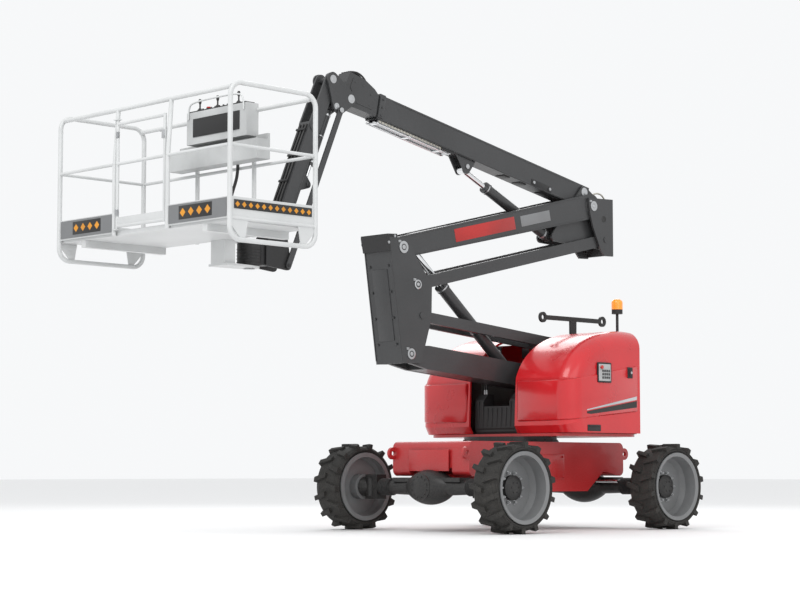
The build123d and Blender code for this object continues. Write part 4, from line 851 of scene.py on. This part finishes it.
@dataclass
class Pins(Assembly):
    """The silver pin heads of the arms, with their keeper plates and bolts."""

    wide_face: float = 0.15
    heads: tuple[tuple[str, str, float, float], ...] = (
        ("arm_lift", "turret", 0.210, 0.044),
        ("lower_link_turn", "turret", 0.210, 0.040),
        ("riser_level", "riser_knuckle", 0.176, 0.050),
        ("upper_arm_turn", "riser_knuckle", 0.176, 0.056),
        ("upper_link_turn", "riser_knuckle", 0.176, 0.044),
        ("boom_knuckle_level", "boom_knuckle", 0.176, 0.050),
        ("boom_lift", "boom_knuckle", 0.104, 0.046),
        ("jib_head_level", "jib_knuckle", 0.102, 0.040),
        ("jib_lift", "jib_knuckle", 0.102, 0.038),
        ("jib_barrel_turn", "jib_knuckle", 0.102, 0.030),
        ("basket_level", "basket_carrier", 0.102, 0.040),
    )

    def build(self) -> None:
        """Makes every pair of pin heads."""
        for joint, body, face, radius in self.heads:
            self._pair(joint, body, face, radius)

    def _pair(self, joint: str, body: str, face: float, radius: float) -> None:
        """Makes both heads of one pin.

        Args:
            joint: The joint the pin stands in.
            body: The body that holds the pin.
            face: Distance from the middle to the plate's outer face.
            radius: Radius of the head.
        """
        pin = self.kit.pin(joint)
        rise = 0.0095 if face > self.wide_face else 0.0035
        heads = self.mould()
        for hand in (1, -1):
            seat = Vector((pin.x, hand * face, pin.z))
            out = aside(hand)
            profile = (
                (0.0, rise), (radius * 0.35, rise), (radius * 0.42, rise * 0.6), (radius * 0.86, rise),
                (radius, rise * 0.7), (radius, 0.0), (0.0, 0.0),
            )
            heads.turned(profile, seat, out, 40)
            if face > self.wide_face:
                way = Vector((0.7, 0, 0.7)) * (radius + 0.016)
                heads.block((0.034, 0.005, 0.022), Matrix.Translation(seat + way + out * 0.0025), 0.001)
                heads.bolt(seat + way + out * 0.004, out, 0.006, 0.005)
        heads.close("pin_heads_" + joint, "steel", body)


@dataclass
class Riser(Assembly):
    """Plates, bars, bosses and clipped hoses of the two folding arms."""

    side_y: float = 0.150
    lower_length: float = 2.161
    upper_length: float = 2.776
    boss_bore: float = 0.034
    plate_y: float = 0.176
    hose_places: tuple[float, ...] = (-0.094, -0.076, 0.076, 0.094)
    hose_radius: float = 0.009

    def build(self) -> None:
        """Dresses the arms and the riser knuckle."""
        lower = SideLine.between(self.kit.pin("arm_lift"), self.kit.pin("riser_level"))
        upper = SideLine.between(self.kit.pin("boom_knuckle_level"), self.kit.pin("upper_arm_turn"))
        self._bosses("lower_arm", lower, self.lower_length, (0.072, 0.060))
        self._bosses("upper_arm", upper, self.upper_length, (0.082, 0.066))
        self._bars(upper)
        self._knuckle()
        self._hoses(lower, upper)

    def _bosses(self, body: str, line: SideLine, length: float, radii: Pair) -> None:
        """Raises the welded rings round both pins of an arm."""
        rings = self.mould()
        for along, radius in ((0.0, radii[0]), (length, radii[1])):
            for hand in (1, -1):
                seat = line.at(along, 0.0, hand * (self.side_y - 0.001))
                foot, top = (self.boss_bore, 0.0), (self.boss_bore, BEAD)
                rim = ((radius - 0.003, BEAD), (radius, 0.001), (radius, 0.0))
                rings.turned((foot, top, *rim, foot), seat, aside(hand), 48)
        rings.close(body + "_bosses", "dark_paint", body)

    def _bars(self, upper: SideLine) -> None:
        """Puts the plain red bar and the bare plates on the upper arm's sides."""
        red = self.mould()
        bare = self.mould()
        for hand in (1, -1):
            y = hand * (self.side_y + 0.0008)
            red.block((0.86, 0.0016, 0.125), upper.matrix(1.62, 0.0, y), 0.0005)
            bare.block((0.44, 0.0016, 0.105), upper.matrix(0.88, 0.0, y), 0.0005)
        red.close("upper_arm_red_bar", "plain_red_bar", "upper_arm", "red_paint")
        bare.close("upper_arm_bare_plates", "bare_plate", "upper_arm", "dark_paint")
        ribs = self.mould()
        for hand in (1, -1):
            for square in (-0.088, 0.088):
                start = upper.at(0.16, square + math.copysign(0.022, square), hand * (self.side_y + 0.001))
                end = upper.at(2.62, square, hand * (self.side_y + 0.001))
                ribs.round_bar(start, end, BEAD, 8, 0.0)
        ribs.close("upper_arm_welds", "dark_paint", "upper_arm")

    def _knuckle(self) -> None:
        """Adds the riser knuckle's stiffeners, front bolts and the bracket's pins."""
        low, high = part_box("riser_bracket")
        top = self.kit.pin("upper_arm_turn")
        bottom = self.kit.pin("riser_level")
        foot = Vector((bottom.x + 0.106, 0, bottom.z - 0.09))
        line = SideLine.between(foot, Vector((top.x + 0.178, 0, top.z + 0.078)))
        parts = self.mould()
        for left in (-self.plate_y, self.plate_y):
            parts.block(
                (1.02, 0.010, 0.012), line.matrix(0.54, -0.001, left - math.copysign(0.006, left)), 0.003
            )
        for along in (0.18, 0.42, 0.66, 0.90):
            for left in (-0.12, 0.12):
                parts.bolt(line.at(along, -0.0005, left), line.at(0, -1) - line.at(0, 0), 0.011, 0.012)
        parts.block((0.66, 0.20, 0.008), line.matrix(0.54, -0.002, 0.0), 0.003)
        parts.close("riser_front_plate", "dark_paint", "riser_knuckle")
        bracket = self.mould()
        for hand in (1, -1):
            for x, z in ((low[0] + 0.030, high[2] - 0.022), (high[0] - 0.020, high[2] - 0.085)):
                seat = Vector((x, hand * self.plate_y, z))
                bracket.bolt(seat, aside(hand), 0.010, 0.007)
        bracket.close("riser_bracket_bolts", "steel", "riser_knuckle")

    def _hoses(self, lower: SideLine, upper: SideLine) -> None:
        """Clips hose pairs inside the arms and loops them in the knuckles."""
        for index, left in enumerate(self.hose_places):
            points = [
                lower.at(0.25 + 0.2 * step, -0.080 + 0.004 * math.sin(step + index), left)
                for step in range(8)
            ]
            self.kit.hose(f"lower_arm_hose_{index + 1}", points, self.hose_radius, "lower_arm")
            points = [
                upper.at(0.55 + 0.25 * step, -0.070 + 0.004 * math.sin(step + index), left)
                for step in range(8)
            ]
            self.kit.hose(f"upper_arm_hose_{index + 1}", points, self.hose_radius, "upper_arm")
        tip = self.kit.pin("boom_knuckle_level")
        for index, left in enumerate((-0.130, 0.122, 0.140)):
            steps = ((-0.26, 0.05), (-0.262, -0.08), (-0.262, -0.22), (-0.258, -0.33), (-0.24, -0.44))
            points = [tip + Vector((dx, 0, dz)) + aside(left) for dx, dz in steps]
            self.kit.hose(f"knuckle_hose_{index + 1}", points, 0.0095, "boom_knuckle")
        points = [
            tip + Vector(step)
            for step in (
                (-0.285, 0.10, 0.062), (-0.24, 0.10, 0.135), (-0.15, 0.098, 0.155),
                (-0.07, 0.096, 0.130), (-0.03, 0.096, 0.100),
            )
        ]
        self.kit.hose("pale_knuckle_cable", points, 0.0085, "boom_knuckle", "pale_cable")
        # Black discs with a raised lip on both knuckle plates: painted shade standing in for the dark inside
        # of holes that are not cut.
        hole = self.mould()
        for hand in (1, -1):
            seat = tip + Vector((-0.160, hand * 0.1762, -0.12))
            hole.turned(
                ((0.0, 0.0008), (0.024, 0.0008), (0.030, 0.003), (0.034, 0.0), (0.0, 0.0)),
                seat,
                aside(hand),
                36,
            )
        hole.close("knuckle_hole_painted_shade", "sign_black", "boom_knuckle", "black_paint")


@dataclass
class Rams(Assembly):
    """Gland rings, pipes and ports of the three hydraulic cylinders."""

    rams: tuple[tuple[str, float, float, float], ...] = (
        ("arm", 0.058, 1.240, 0.045),
        ("boom", 0.050, 1.010, 0.045),
        ("jib", 0.034, 0.590, 0.045),
    )

    def build(self) -> None:
        """Dresses each barrel."""
        for name, radius, length, start in self.rams:
            foot = self.kit.pin(name + "_barrel_turn")
            line = SideLine(foot, self._slope(name))
            ring = self.mould()
            run = line.at(1) - line.at(0)
            inner = radius - 0.001
            bands = (
                (length - 0.030, 0.0068, 0.016), (start + 0.03, 0.004, 0.02), (length * 0.5, 0.002, 0.012)
            )
            for along, grow, width in bands:
                outer = radius + grow
                profile = ((inner, 0.0), (outer, 0.001), (outer, width - 0.001), (inner, width), (inner, 0.0))
                ring.turned(profile, line.at(along), run, 40)
            ring.close(name + "_barrel_rings", "steel", name + "_barrel")
            pipe = self.mould()
            square = radius + 0.006
            pipe.round_bar(line.at(start + 0.20, square, 0), line.at(length - 0.07, square, 0), 0.0055, 12)
            for along in (start + 0.20, length - 0.075):
                pipe.block((0.026, 0.026, 0.018), line.matrix(along, square - 0.002, 0), 0.003)
            pipe.close(name + "_barrel_pipe", "steel", name + "_barrel")

    def _slope(self, name: str) -> float:
        """Gives a cylinder's angle in side view, from the middle of its rod to its foot."""
        low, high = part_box(name + "_rod")
        foot = self.kit.pin(name + "_barrel_turn")
        inset = 0.8 * (0.036 if name == "jib" else 0.05)
        far_x = high[0] - inset
        far_z = low[2] + inset if name == "jib" else high[2] - inset
        return math.atan2(far_z - foot.z, far_x - foot.x)


@dataclass
class Boom(Assembly):
    """Collar, wear pads, rods and cable tray of the telescopic boom."""

    angle: float = math.radians(11.0)
    low: float = -0.157
    high: float = 0.073
    half: float = 0.080
    front: float = 2.915
    bead_length: float = 2.60
    bead_middle: float = 1.45
    link_count: int = 24
    link_pitch: float = 0.040

    def build(self) -> None:
        """Dresses both booms and the nose."""
        line = SideLine(self.kit.pin("boom_lift"), self.angle)
        collar = self.mould()
        for left in (-1, 1):
            collar.block(
                (0.07, 0.010, 0.20),
                line.matrix(self.front - 0.036, -0.042, left * (self.half + 0.004)),
                0.002,
            )
            for square in (-0.12, -0.042, 0.036):
                collar.bolt(
                    line.at(self.front - 0.036, square, left * (self.half + 0.008)), aside(left), 0.009, 0.010
                )
            for square in (self.high - 0.012, self.low + 0.012):
                bead = line.matrix(self.bead_middle, square, left * (self.half + 0.001))
                collar.block((self.bead_length, 0.004, 0.012), bead, 0.001)
        collar.close("boom_collar", "dark_paint", "boom_outer")
        rods = self.mould()
        for left in (-0.0494, 0.0494):
            start, end = (line.at(along, self.low - 0.034, left) for along in (1.92, 2.93))
            rods.round_bar(start, end, 0.0085, 16)
        for along in (2.04, 2.46, 2.88):
            rods.block((0.030, 0.124, 0.016), line.matrix(along, self.low - 0.032, 0), 0.003)
        rods.close("boom_guide_rods", "rod_chrome", "boom_outer")
        chain = self.mould()
        for index in range(self.link_count):
            along = 1.94 + self.link_pitch * index
            for left in (-1, 1):
                chain.block((0.030, 0.006, 0.020), line.matrix(along, self.low - 0.012, left * 0.0645), 0.003)
        chain.close("cable_carrier_links", "pale_cable", "boom_outer", "steel")
        self._underside(line)
        self._nose(line)

    def _underside(self, line: SideLine) -> None:
        """Adds the fittings, the small pins and the carrier's bracket under the boom."""
        dark = self.mould()
        for along in (0.34, 0.52, 0.86, 1.10):
            dark.block((0.09, 0.115, 0.008), line.matrix(along, self.low - 0.003, 0), 0.002)
        for left in (-1, 1):
            dark.block((0.16, 0.008, 0.07), line.matrix(1.96, self.low + 0.012, left * 0.0705), 0.002)
            dark.block(
                (0.30, 0.006, 0.06), line.matrix(0.62, self.low + 0.04, left * (self.half + 0.002)), 0.002
            )
        dark.close("boom_underside_fittings", "black_paint", "boom_outer")
        pins = self.mould()
        for left in (-1, 1):
            for along, square in ((0.50, -0.117), (0.74, -0.117), (1.662, -0.233)):
                reach = 0.0605 if along > 1 else self.half + 0.005
                seat = line.at(along, square, left * reach)
                pins.round_bar(seat, seat + aside(left * 0.010), 0.016 if along < 1 else 0.024, 28, 0.002)
        pins.close("boom_small_pins", "steel", "boom_outer")

    def _nose(self, line: SideLine) -> None:
        """Adds the nose's bolted plates and its hose loops."""
        nose = self.mould()
        for left in (-1, 1):
            outline = ((3.00, -0.10), (3.00, 0.05), (3.12, 0.115), (3.27, 0.118), (3.29, 0.02), (3.19, -0.10))
            outer = 0.080 if left > 0 else -0.076
            nose.slab(outline, 0.004, line.matrix(0, 0, outer), 0.001)
            for along, square in ((3.03, -0.07), (3.03, 0.03), (3.14, 0.085), (3.24, 0.085)):
                nose.bolt(line.at(along, square, left * 0.0795), aside(left), 0.008, 0.0032)
        nose.close("nose_plates", "dark_paint", "boom_inner")
        for index, left in enumerate((-0.045, -0.015, 0.015, 0.045)):
            points = [
                line.at(*spot, left)
                for spot in ((3.06, 0.115), (3.10, 0.165), (3.18, 0.195), (3.26, 0.185), (3.31, 0.165))
            ]
            self.kit.hose(f"nose_hose_{index + 1}", points, 0.0085, "boom_inner")


@dataclass
class Jib(Assembly):
    """Weld lines, hoses, clamps and link pins of the jib."""

    def build(self) -> None:
        """Dresses the jib."""
        line = SideLine.between(self.kit.pin("jib_lift"), self.kit.pin("basket_level"))
        ribs = self.mould()
        for left in (-1, 1):
            for square in (0.060, -0.060):
                ribs.block((0.92, 0.004, 0.012), line.matrix(0.98, square, left * 0.0710), 0.001)
            seat = line.at(1.0, -0.140, left * 0.058)
            ribs.round_bar(seat, seat + aside(left * 0.009), 0.022, 28, 0.002)
            profile = ((0.034, 0.0), (0.034, 0.003), (0.056, 0.003), (0.058, 0.0), (0.034, 0.0))
            ribs.turned(profile, line.at(1.57, 0, left * 0.070), aside(left), 40)
        ribs.close("jib_ribs", "dark_paint", "jib_arm")
        for index, left in enumerate((-0.040, 0.0, 0.040)):
            points = [
                line.at(0.50 + 0.13 * step, 0.079, left + 0.004 * math.sin(1.7 * step + index))
                for step in range(8)
            ]
            self.kit.hose(f"jib_hose_{index + 1}", points, 0.0085, "jib_arm")
        clamps = self.mould()
        for along in (0.56, 0.82, 1.08, 1.34):
            clamps.block((0.022, 0.116, 0.010), line.matrix(along, 0.090, 0), 0.003)
        clamps.close("jib_hose_clamps", "black_plastic", "jib_arm")
        pins = self.mould()
        pin = self.kit.pin("jib_link_turn")
        for hand in (1, -1):
            seat = Vector((pin.x, hand * 0.1275, pin.z))
            pins.round_bar(seat, seat + aside(hand * 0.006), 0.024, 28, 0.002)
        pins.close("jib_link_pins", "steel", "jib_knuckle")


@dataclass
class Basket(Assembly):
    """Signs, toe faces, floor tread, console and fittings of the work basket."""

    sign_tilt: float = math.radians(45)
    rail_radius: float = 0.019
    tread_rows: int = 11
    tread_columns: int = 30
    stick_places: tuple[float, ...] = (-0.22, 0.02, 0.30)
    spring_coils: int = 9

    def build(self) -> None:
        """Dresses the basket."""
        self.low, self.high = (Vector(spot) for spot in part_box("basket_floor"))
        self.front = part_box("basket_front_rails")[1][0] - self.rail_radius
        self.floor = self.high.z
        self._toe_faces()
        self._signs()
        self._mesh_floor()
        self._console()
        self._gate()
        self._mount()

    def _sign(
        self, name: str, body: str, start: Vector, length: float, height: float, along: Vector,
        out: Vector, tiles: int,
    ) -> None:
        """Lays one black plate with a row of amber diamonds.

        Args:
            name: Name of the sign.
            body: The body it rides on.
            start: Lower corner of the plate.
            length: Length of the plate.
            height: Height of the plate.
            along: Direction of its length.
            out: Direction it faces.
            tiles: Number of diamonds.
        """
        up = UP
        middle = start + along * length / 2 + up * height / 2
        turn = Matrix.Identity(3)
        turn.col[0], turn.col[1], turn.col[2] = along, out, up
        place = Matrix.Translation(middle) @ turn.to_4x4()
        plate = self.mould()
        plate.block((length, 0.003, height), place, 0.001)
        plate.close(name, "sign_black", body, "black_paint")
        marks = self.mould()
        pitch = length / tiles
        size = min(pitch, height) * 0.48
        for index in range(tiles):
            spot = start + along * pitch * (index + 0.5) + up * height / 2 + out * 0.0018
            diamond = put(*spot) @ turn.to_4x4() @ Matrix.Rotation(self.sign_tilt, 4, "Y")
            marks.block((size, 0.0012, size), diamond, 0.0)
        marks.close(name + "_diamonds", "sign_amber", body, "amber")

    def _signs(self) -> None:
        """Puts the hazard signs on the toe boards."""
        out = Vector((1, 0, 0))
        left = aside(1)
        face = self.front + 0.0058
        self._sign(
            "front_sign_left", "basket", Vector((face, 0.52, self.floor + 0.015)), 0.42, 0.11, left, out, 4
        )
        self._sign(
            "front_sign_right", "basket", Vector((face, -0.94, self.floor + 0.015)), 0.40, 0.11, left, out, 4
        )
        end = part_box("basket_left_frame")
        y = (end[0][1] + end[1][1]) / 2
        length = end[1][0] - end[0][0] - 0.12
        for hand, name in ((1, "left"), (-1, "right")):
            start = Vector((end[0][0] + 0.06, hand * (y + 0.0055), self.floor + 0.055))
            self._sign("end_sign_" + name, "basket", start, length, 0.072, out, aside(hand), 12)

    def _toe_faces(self) -> None:
        """Covers the front toe boards with a darker grey sheet: their galvanised grey darkened with painted
        shade.
        """
        # The darker grey sheet is painted shade over the toe boards' galvanised grey.
        sheets = self.mould()
        for start, end in ((-1.12, -0.385), (0.385, 1.12)):
            place = put(self.front + 0.0046, (start + end) / 2, self.floor + 0.066)
            sheets.block((0.0012, end - start, 0.150), place, 0.0)
        sheets.close("front_toe_painted_shade", "toe_grey_painted_shade", "basket", "grey_paint")

    def _mesh_floor(self) -> None:
        """Lays the raised tread pattern on the floor."""
        tread = self.mould()
        span = self.high - self.low
        for row in range(self.tread_rows):
            for column in range(self.tread_columns):
                x = self.low.x + 0.40 + (span.x - 0.47) * (row + 0.5) / self.tread_rows
                y = self.low.y + 0.05 + (span.y - 0.10) * (column + 0.5) / self.tread_columns
                turn = math.radians(45 if (row + column) % 2 else -45)
                place = put(x, y, self.floor + 0.001) @ Matrix.Rotation(turn, 4, "Z")
                tread.block((0.036, 0.008, 0.004), place, 0.0012)
        tread.close("floor_tread", "grey_paint", "basket")

    def _console(self) -> None:
        """Dresses the control box with its sloping face, sticks, switches and guard."""
        high = Vector(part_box("basket_console")[1])
        top = high.z
        x0, x1 = high.x - 0.12, high.x - 0.01
        parts = self.mould()
        parts.block((0.104, 0.76, 0.012), put((x0 + x1) / 2, 0.07, top + 0.005), 0.004)
        parts.block((0.010, 0.62, 0.16), put(high.x - 0.010 + 0.003, 0.07, top - 0.14), 0.004)
        parts.close("console_face", "black_plastic", "basket")
        sticks = self.mould()
        for y in self.stick_places:
            base = Vector(((x0 + x1) / 2, y, top + 0.010))
            sticks.turned(
                ((0.0, 0.030), (0.012, 0.028), (0.020, 0.016), (0.026, 0.010), (0.030, 0.0), (0.0, 0.0)),
                base,
                UP,
                32,
            )
            sticks.round_bar(base + UP * 0.026, base + UP * 0.075, 0.007, 16)
            sticks.turned(
                ((0.0, 0.046), (0.009, 0.044), (0.014, 0.034), (0.013, 0.012), (0.009, 0.0), (0.0, 0.0)),
                base + UP * 0.066,
                UP,
                28,
            )
        for index in range(9):
            sticks.block((0.010, 0.016, 0.014), put(x1 - 0.012, -0.18 + 0.055 * index, top + 0.014), 0.003)
        sticks.close("console_sticks", "hose_black", "basket", "black_plastic")
        stop = self.mould()
        seat = Vector(((x0 + x1) / 2, -0.10, top + 0.010))
        stop.button(seat, UP, 0.028, 0.010, 0.020)
        stop.close("console_stop_button", "switch_red", "basket", "red_paint")
        lamps = self.mould()
        for index in range(4):
            seat = Vector((x0 + 0.016, 0.10 + 0.035 * index, top + 0.010))
            lamps.round_bar(seat, seat + UP * 0.006, 0.006, 16, 0.001)
        lamps.close("console_lamps", "switch_green", "basket", "console_grey")
        guard = [
            Vector((x1 + 0.008, y, top + rise))
            for y, rise in (
                (-0.30, -0.06), (-0.30, 0.045), (-0.24, 0.085), (0.10, 0.09), (0.38, 0.085),
                (0.44, 0.045), (0.44, -0.06),
            )
        ]
        self.kit.hose("console_guard", guard, 0.008, "basket", "grey_paint")
        steps = (
            (0.02, 0.20, 0.44), (0.03, 0.20, 0.56), (0.03, 0.12, 0.72), (0.03, 0.05, 0.88), (0.03, 0.02, 1.00)
        )
        loop = [Vector((x0 - back, y, top - drop)) for back, y, drop in steps]
        self.kit.hose("console_loom", loop, 0.014, "basket")

    def _gate(self) -> None:
        """Adds the gate's latch and its hinge springs."""
        low, high = (Vector(spot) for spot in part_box("basket_gate"))
        latch = self.mould()
        place = put(self.front - 0.002, high.y - 0.020, high.z - 0.20)
        latch.block((0.036, 0.034, 0.07), place, 0.003)
        latch.round_bar(
            Vector((self.front, high.y - 0.03, high.z - 0.17)),
            Vector((self.front, high.y - 0.075, high.z - 0.17)), 0.006, 14,
        )
        latch.close("gate_latch", "steel", "gate")
        sleeves = self.mould()
        for z in (low.z + 0.12, high.z - 0.16):
            profile = [(0.0143, 0.0)]
            for turn in range(self.spring_coils):
                profile += [(0.0185, 0.006 * turn + 0.002), (0.0158, 0.006 * turn + 0.005)]
            profile += [(0.0143, 0.056), (0.0143, 0.0)]
            sleeves.turned(profile, Vector((self.front, low.y + 0.014, z)), UP, 28)
        sleeves.close("gate_springs", "steel", "gate")

    def _mount(self) -> None:
        """Adds the rotator's ribs and its cap."""
        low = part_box("basket_carrier")[0][2]
        axis = self.kit.pin("basket_rotate")
        ribs = self.mould()
        for index in range(5):
            centre = Vector((axis.x, 0, low + 0.045 + 0.028 * index))
            ribs.turned(
                ((0.104, 0.0), (0.1085, 0.003), (0.1085, 0.009), (0.104, 0.012), (0.104, 0.0)), centre, UP, 64
            )
        ribs.close("rotator_ribs", "black_paint", "basket_carrier")
        cap = self.mould()
        seat = Vector((axis.x, 0, self.low.z - 0.008))
        cap.turned(((0.0, 0.008), (0.034, 0.008), (0.046, 0.005), (0.050, 0.0), (0.0, 0.0)), seat, UP, 40)
        cap.close("rotator_cap", "steel", "basket")


@dataclass
class Studio:
    """Floor, light and the camera at the photograph's place."""

    axis_x: float
    camera_at: Point = (14.42, 13.17, 0.57)
    yaw: float = 225.56
    pitch: float = 4.86
    lens: float = 90.0
    sky: float = 0.95
    floor_size: float = 90.0
    lamps: tuple[tuple[str, Point, float, float], ...] = (
        ("key_lamp", (9.0, 3.0, 11.0), 650.0, 7.0),
        ("fill_lamp", (3.0, 12.0, 7.0), 260.0, 9.0),
        ("rim_lamp", (-8.0, -7.0, 9.0), 350.0, 6.0),
    )

    def build(self) -> None:
        """Sets up the floor, the lamps, the sky and the camera."""
        self._floor()
        self._camera()
        for lamp in self.lamps:
            self._lamp(*lamp)
        world = bpy.data.worlds.new("pale_sky")
        bpy.context.scene.world = world
        world.use_nodes = True
        sky = world.node_tree.nodes["Background"]
        fill(sky, {"Color": (0.98, 0.99, 1.0, 1.0), "Strength": self.sky})
        bpy.context.scene.view_settings.view_transform = "Standard"

    def _floor(self) -> None:
        """Lays a wide pale floor."""
        mesh = bmesh.new()
        bmesh.ops.create_grid(mesh, x_segments=1, y_segments=1, size=self.floor_size)
        data = bpy.data.meshes.new("floor")
        mesh.to_mesh(data)
        mesh.free()
        floor = bpy.data.objects.new("floor", data)
        bpy.context.scene.collection.objects.link(floor)
        pale = bpy.data.materials.new("pale_floor")
        pale.use_nodes = True
        shader = pale.node_tree.nodes["Principled BSDF"]
        fill(shader, {"Base Color": (0.86, 0.86, 0.86, 1.0), "Roughness": 0.8})
        data.materials.append(pale)

    def _camera(self) -> None:
        """Puts the camera where the photograph was taken."""
        data = bpy.data.cameras.new("photo_camera")
        data.lens = self.lens
        data.sensor_width = 36.0
        data.clip_end = 400.0
        camera = bpy.data.objects.new("photo_camera", data)
        yaw, pitch = math.radians(self.yaw), math.radians(self.pitch)
        look = Vector((math.cos(yaw) * math.cos(pitch), math.sin(yaw) * math.cos(pitch), math.sin(pitch)))
        camera.location = (self.camera_at[0] + self.axis_x, self.camera_at[1], self.camera_at[2])
        camera.rotation_euler = look.to_track_quat("-Z", "Y").to_euler()
        bpy.context.scene.collection.objects.link(camera)
        bpy.context.scene.camera = camera

    def _lamp(self, name: str, place: Point, power: float, size: float) -> None:
        """Adds a soft square lamp that looks at the machine."""
        data = bpy.data.lights.new(name, "AREA")
        data.energy = power
        data.size = size
        lamp = bpy.data.objects.new(name, data)
        lamp.location = place
        lamp.rotation_euler = (UP * 2.0 - Vector(place)).to_track_quat("-Z", "Y").to_euler()
        bpy.context.scene.collection.objects.link(lamp)


def main() -> None:
    """Builds the looks round the frame."""
    logging.basicConfig(level=logging.INFO, format="%(name)s: %(message)s")
    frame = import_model()
    record = frame["record"]
    joints = {
        joint["name"]: Vector(joint["pos_m"]) for joint in record["behaviour"]["joints"] if "pos_m" in joint
    }
    palette = Palette()
    palette.dress_nodes(record)
    kit = Kit(palette, joints)
    for assembly in (
        Wheels, Undercarriage, Hoods, GroundPanel, TurretFront, Pins, Riser, Rams, Boom, Jib, Basket
    ):
        assembly(kit).build()
    Studio(joints["slew"].x).build()


if __name__ == "__main__":
    main()
